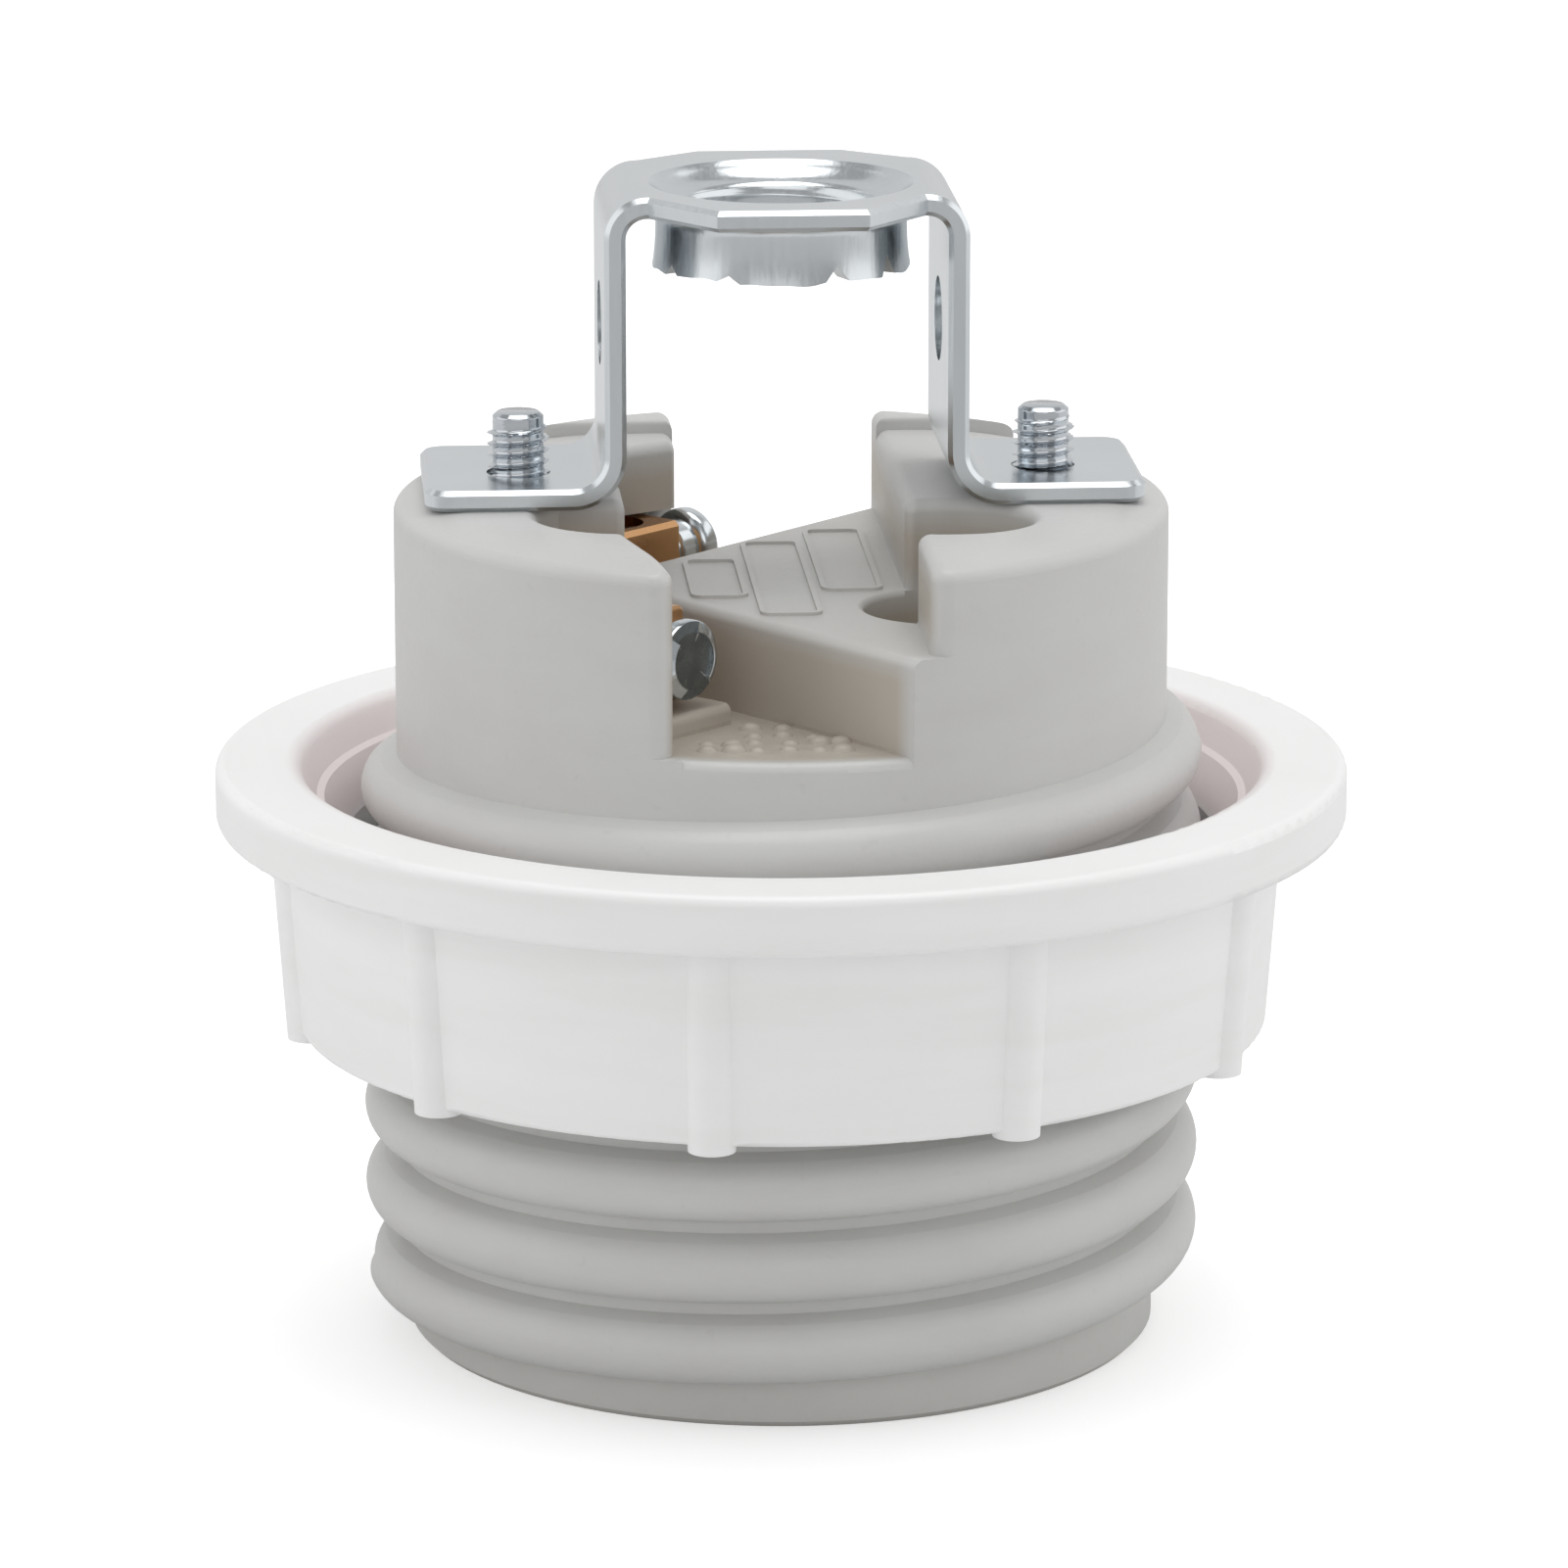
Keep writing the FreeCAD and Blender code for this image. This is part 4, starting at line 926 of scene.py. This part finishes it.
def slice_collar(work, middle, direction):
    """Cuts the faces of the collar, below its root, along a plane."""
    faces = [face for face in work.faces
             if max(math.hypot(v.co.x, v.co.y) for v in face.verts) < collar_root_r
             and max(v.co.z for v in face.verts) < collar_root_z]
    edges = {edge for face in faces for edge in face.edges}
    verts = {vert for face in faces for vert in face.verts}
    bmesh.ops.bisect_plane(work, geom=[*verts, *edges, *faces], plane_co=middle,
                           plane_no=direction, dist=1e-8)


work = welded("bracket")
for level in cut_levels:
    slice_collar(work, (0, 0, level * MM), (0, 0, 1))
for turn in range(0, 180, cut_step):
    angle = math.radians(turn)
    slice_collar(work, (0, 0, 0), (math.sin(angle), -math.cos(angle), 0))
for vert in work.verts:
    vert.co = Vector(press_collar(vert.co / MM)) * MM
bmesh.ops.recalc_face_normals(work, faces=work.faces)
mesh = plain_mesh("bracket_pressed", work, 30.0)
bracket = piece_from_mesh("bracket_pressed", mesh, materials["bracket_steel"])
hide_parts("bracket")
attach(bracket, "holder")
print("bracket faces", len(mesh.polygons), "open edges", open_edges(mesh))


# %% [markdown]
# ## Thread in the collar
# The collar is tapped M10 x 1 for the lamp's threaded tube. Cutting it into the pressed copy
# would tangle with the torn end. The thread is a thin sleeve instead, rooted in the steel, that
# fades out at both ends.

# %% Tapped thread
collar_thread_z = 52.15 * MM
mesh = run_tree(trees["sleeve"], Length=2.1 * MM, Outer_Radius=4.74 * MM, Bore_Radius=4.6 * MM,
                Thread_Depth=0.24 * MM, Pitch=1.0 * MM, Sharpness=1.5, Rows=121, Columns=90)
mesh.transform(Matrix.Translation((0, 0, collar_thread_z)))
collar_thread = piece_from_mesh("collar_thread", mesh, materials["bracket_steel"])
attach(collar_thread, "holder")
print("collar thread faces", len(mesh.polygons), "open edges", open_edges(mesh))


# %% [markdown]
# ## Corner of the front notch
# The rounding along the edge of the notch's floor stops at the bar. In the frame it runs on
# under the bar's corner as a sliver. The moulding is solid there, and a copy of the whole body
# would be a lot of mesh for it, so this small wedge fills it.

# %% Fill the corner
dome_r, wedge_low, wedge_high = 18.299, 31.1, 31.9    # in millimetres
corner = [(dome_r * math.cos(math.radians(a)), dome_r * math.sin(math.radians(a)))
          for a in (-74.72, -74.0, -73.2, -72.4, -72.1)]
corner += [(5.6, -16.95), (4.30, -16.98)]
verts = [(x * MM, y * MM, z * MM) for z in (wedge_low, wedge_high) for x, y in corner]
count = len(corner)
faces = [tuple(reversed(range(count))), tuple(range(count, 2 * count))]
faces += [(i, (i + 1) % count, (i + 1) % count + count, i + count) for i in range(count)]
mesh = bpy.data.meshes.new("notch_corner")
mesh.from_pydata(verts, [], faces)
corner_fill = piece_from_mesh("notch_corner", mesh, materials["body_moulding"])
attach(corner_fill, "holder")
print("notch corner", len(faces), "faces")


# %% [markdown]
# ## Mounds on the notch floor
# The floor of the front notch isn't smooth: it carries low rounded mounds. They show against
# the bar's wall, so a bump in the material isn't enough. A grid of points, each moved a little
# at random with a fixed seed, is cut back to the part of the floor that has them, and each
# point carries a dome sunk into the floor.

# %% Tree for the mounds
# Lines that bound the mounds, in metres: walls of the notch, and the strip under the clamp.
bar_corner_x, bar_corner_y = 0.0056, -0.0174
bar_across_x, bar_across_y = -0.793, -0.609    # direction away from the bar's slanting wall
left_x, right_x, rear_y = -0.0049, 0.0026, -0.0106
strip_x, strip_y = -0.0026, -0.0134


def pebble_tree():
    net, given = new_tree("pebbles", Pitch=0.0013, Jitter=0.0002, Radius=0.0006, Height=0.0005,
                          Middle_Y=-0.0145, Floor=0.0315, Wall_Gap=0.0009, Rim_Radius=0.0166)
    columns, rows, pitch = given["Columns"], given["Rows"], given["Pitch"]
    grid = net.add("GeometryNodeMeshGrid", {"Size X": pitch * (columns - 1.0),
                                            "Size Y": pitch * (rows - 1.0),
                                            "Vertices X": columns, "Vertices Y": rows})
    middle = net.add("ShaderNodeCombineXYZ", {"Y": given["Middle Y"], "Z": given["Floor"]})
    stray = net.add("FunctionNodeRandomValue", {0: (-1.0, -1.0, 0.0), 1: (1.0, 1.0, 0.0),
                                                "Seed": 4}, data_type="FLOAT_VECTOR")
    points = net.add("GeometryNodeSetPosition", {"Geometry": grid,
                                                 "Offset": stray * given["Jitter"] + middle})
    x, y, _, radius = measured(net, net.add("GeometryNodeInputPosition"))
    gap = (x - bar_corner_x) * bar_across_x + (y - bar_corner_y) * bar_across_y
    kept = gap.math("GREATER_THAN", given["Wall Gap"])
    kept = kept * radius.math("LESS_THAN", given["Rim Radius"])
    kept = kept * x.math("GREATER_THAN", left_x) * x.math("LESS_THAN", right_x)
    kept = kept * y.math("LESS_THAN", rear_y)
    kept = kept * (1.0 - x.math("LESS_THAN", strip_x) * y.math("GREATER_THAN", strip_y))
    points = net.add("GeometryNodeDeleteGeometry", {"Geometry": points, "Selection": 1.0 - kept})
    size = net.add("FunctionNodeRandomValue", {2: 0.75, 3: 1.1, "Seed": 9}, out=1,
                   data_type="FLOAT")
    dome = net.add("GeometryNodeMeshUVSphere", {"Segments": 20, "Rings": 12, "Radius": 1.0})
    scale = net.add("ShaderNodeCombineXYZ", {"X": given["Radius"] * size,
                                             "Y": given["Radius"] * size * 0.85,
                                             "Z": given["Height"] * size})
    domes = net.add("GeometryNodeInstanceOnPoints", {"Points": points, "Instance": dome,
                                                     "Scale": scale})
    return end_tree(net, given, domes)


# %% Mounds
mesh = run_tree(pebble_tree(), Pitch=1.3 * MM, Jitter=0.25 * MM, Radius=0.62 * MM,
                Height=0.5 * MM, Middle_Y=-14.2 * MM, Floor=31.48 * MM, Wall_Gap=0.45 * MM,
                Rows=7, Columns=8)
pebbles = piece_from_mesh("notch_pebbles", mesh, materials["body_moulding"])
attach(pebbles, "holder")
print("mound faces", len(mesh.polygons), "open edges", open_edges(mesh))


# %% [markdown]
# ## Socket shell
# The shell that takes the lamp's cap is a cup drawn from brass sheet, with the round E27 thread,
# 7 turns to the inch, rolled into its wall. The frame holds it as a plain cup. A profile wound
# round the axis would leave the thread's ends cut off square, and the cup tree fades them. It
# makes both faces of the sheet in one grid, whose two ends stay apart by the sheet's thickness
# at the hole in the base, inside the holder.

# %% Rolled shell
mesh = run_tree(trees["cup"], Hole_Radius=6.0 * MM, Radius=13.45 * MM, Bottom=6.8 * MM,
                Top=24.28 * MM, Wall=0.4 * MM, Thread_Depth=1.0 * MM, Pitch=25.4 / 7 * MM,
                Bend=0.8 * MM, Lip=0.3 * MM, Rows=221, Columns=96)
shell = piece_from_mesh("rolled_shell", mesh, materials["shell_brass"])
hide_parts("screw_shell")
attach(shell, "holder")
print("shell faces", len(mesh.polygons), "open edges", open_edges(mesh))


# %% [markdown]
# ## Contact spring
# A small coil of wire stands between the contact button and the live strip above it. A rigid
# copy would push through the strip when a lamp presses the button up, and a coil made again at
# each pose would need a handler.

# %% Welded copy of the coil
work = welded("contact_spring")
bmesh.ops.recalc_face_normals(work, faces=work.faces)
mesh = plain_mesh("contact_spring_coil", work)
coil = piece_from_mesh("contact_spring_coil", mesh, materials["spring_steel"])
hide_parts("contact_spring")
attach(coil, "contact")
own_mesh(coil)
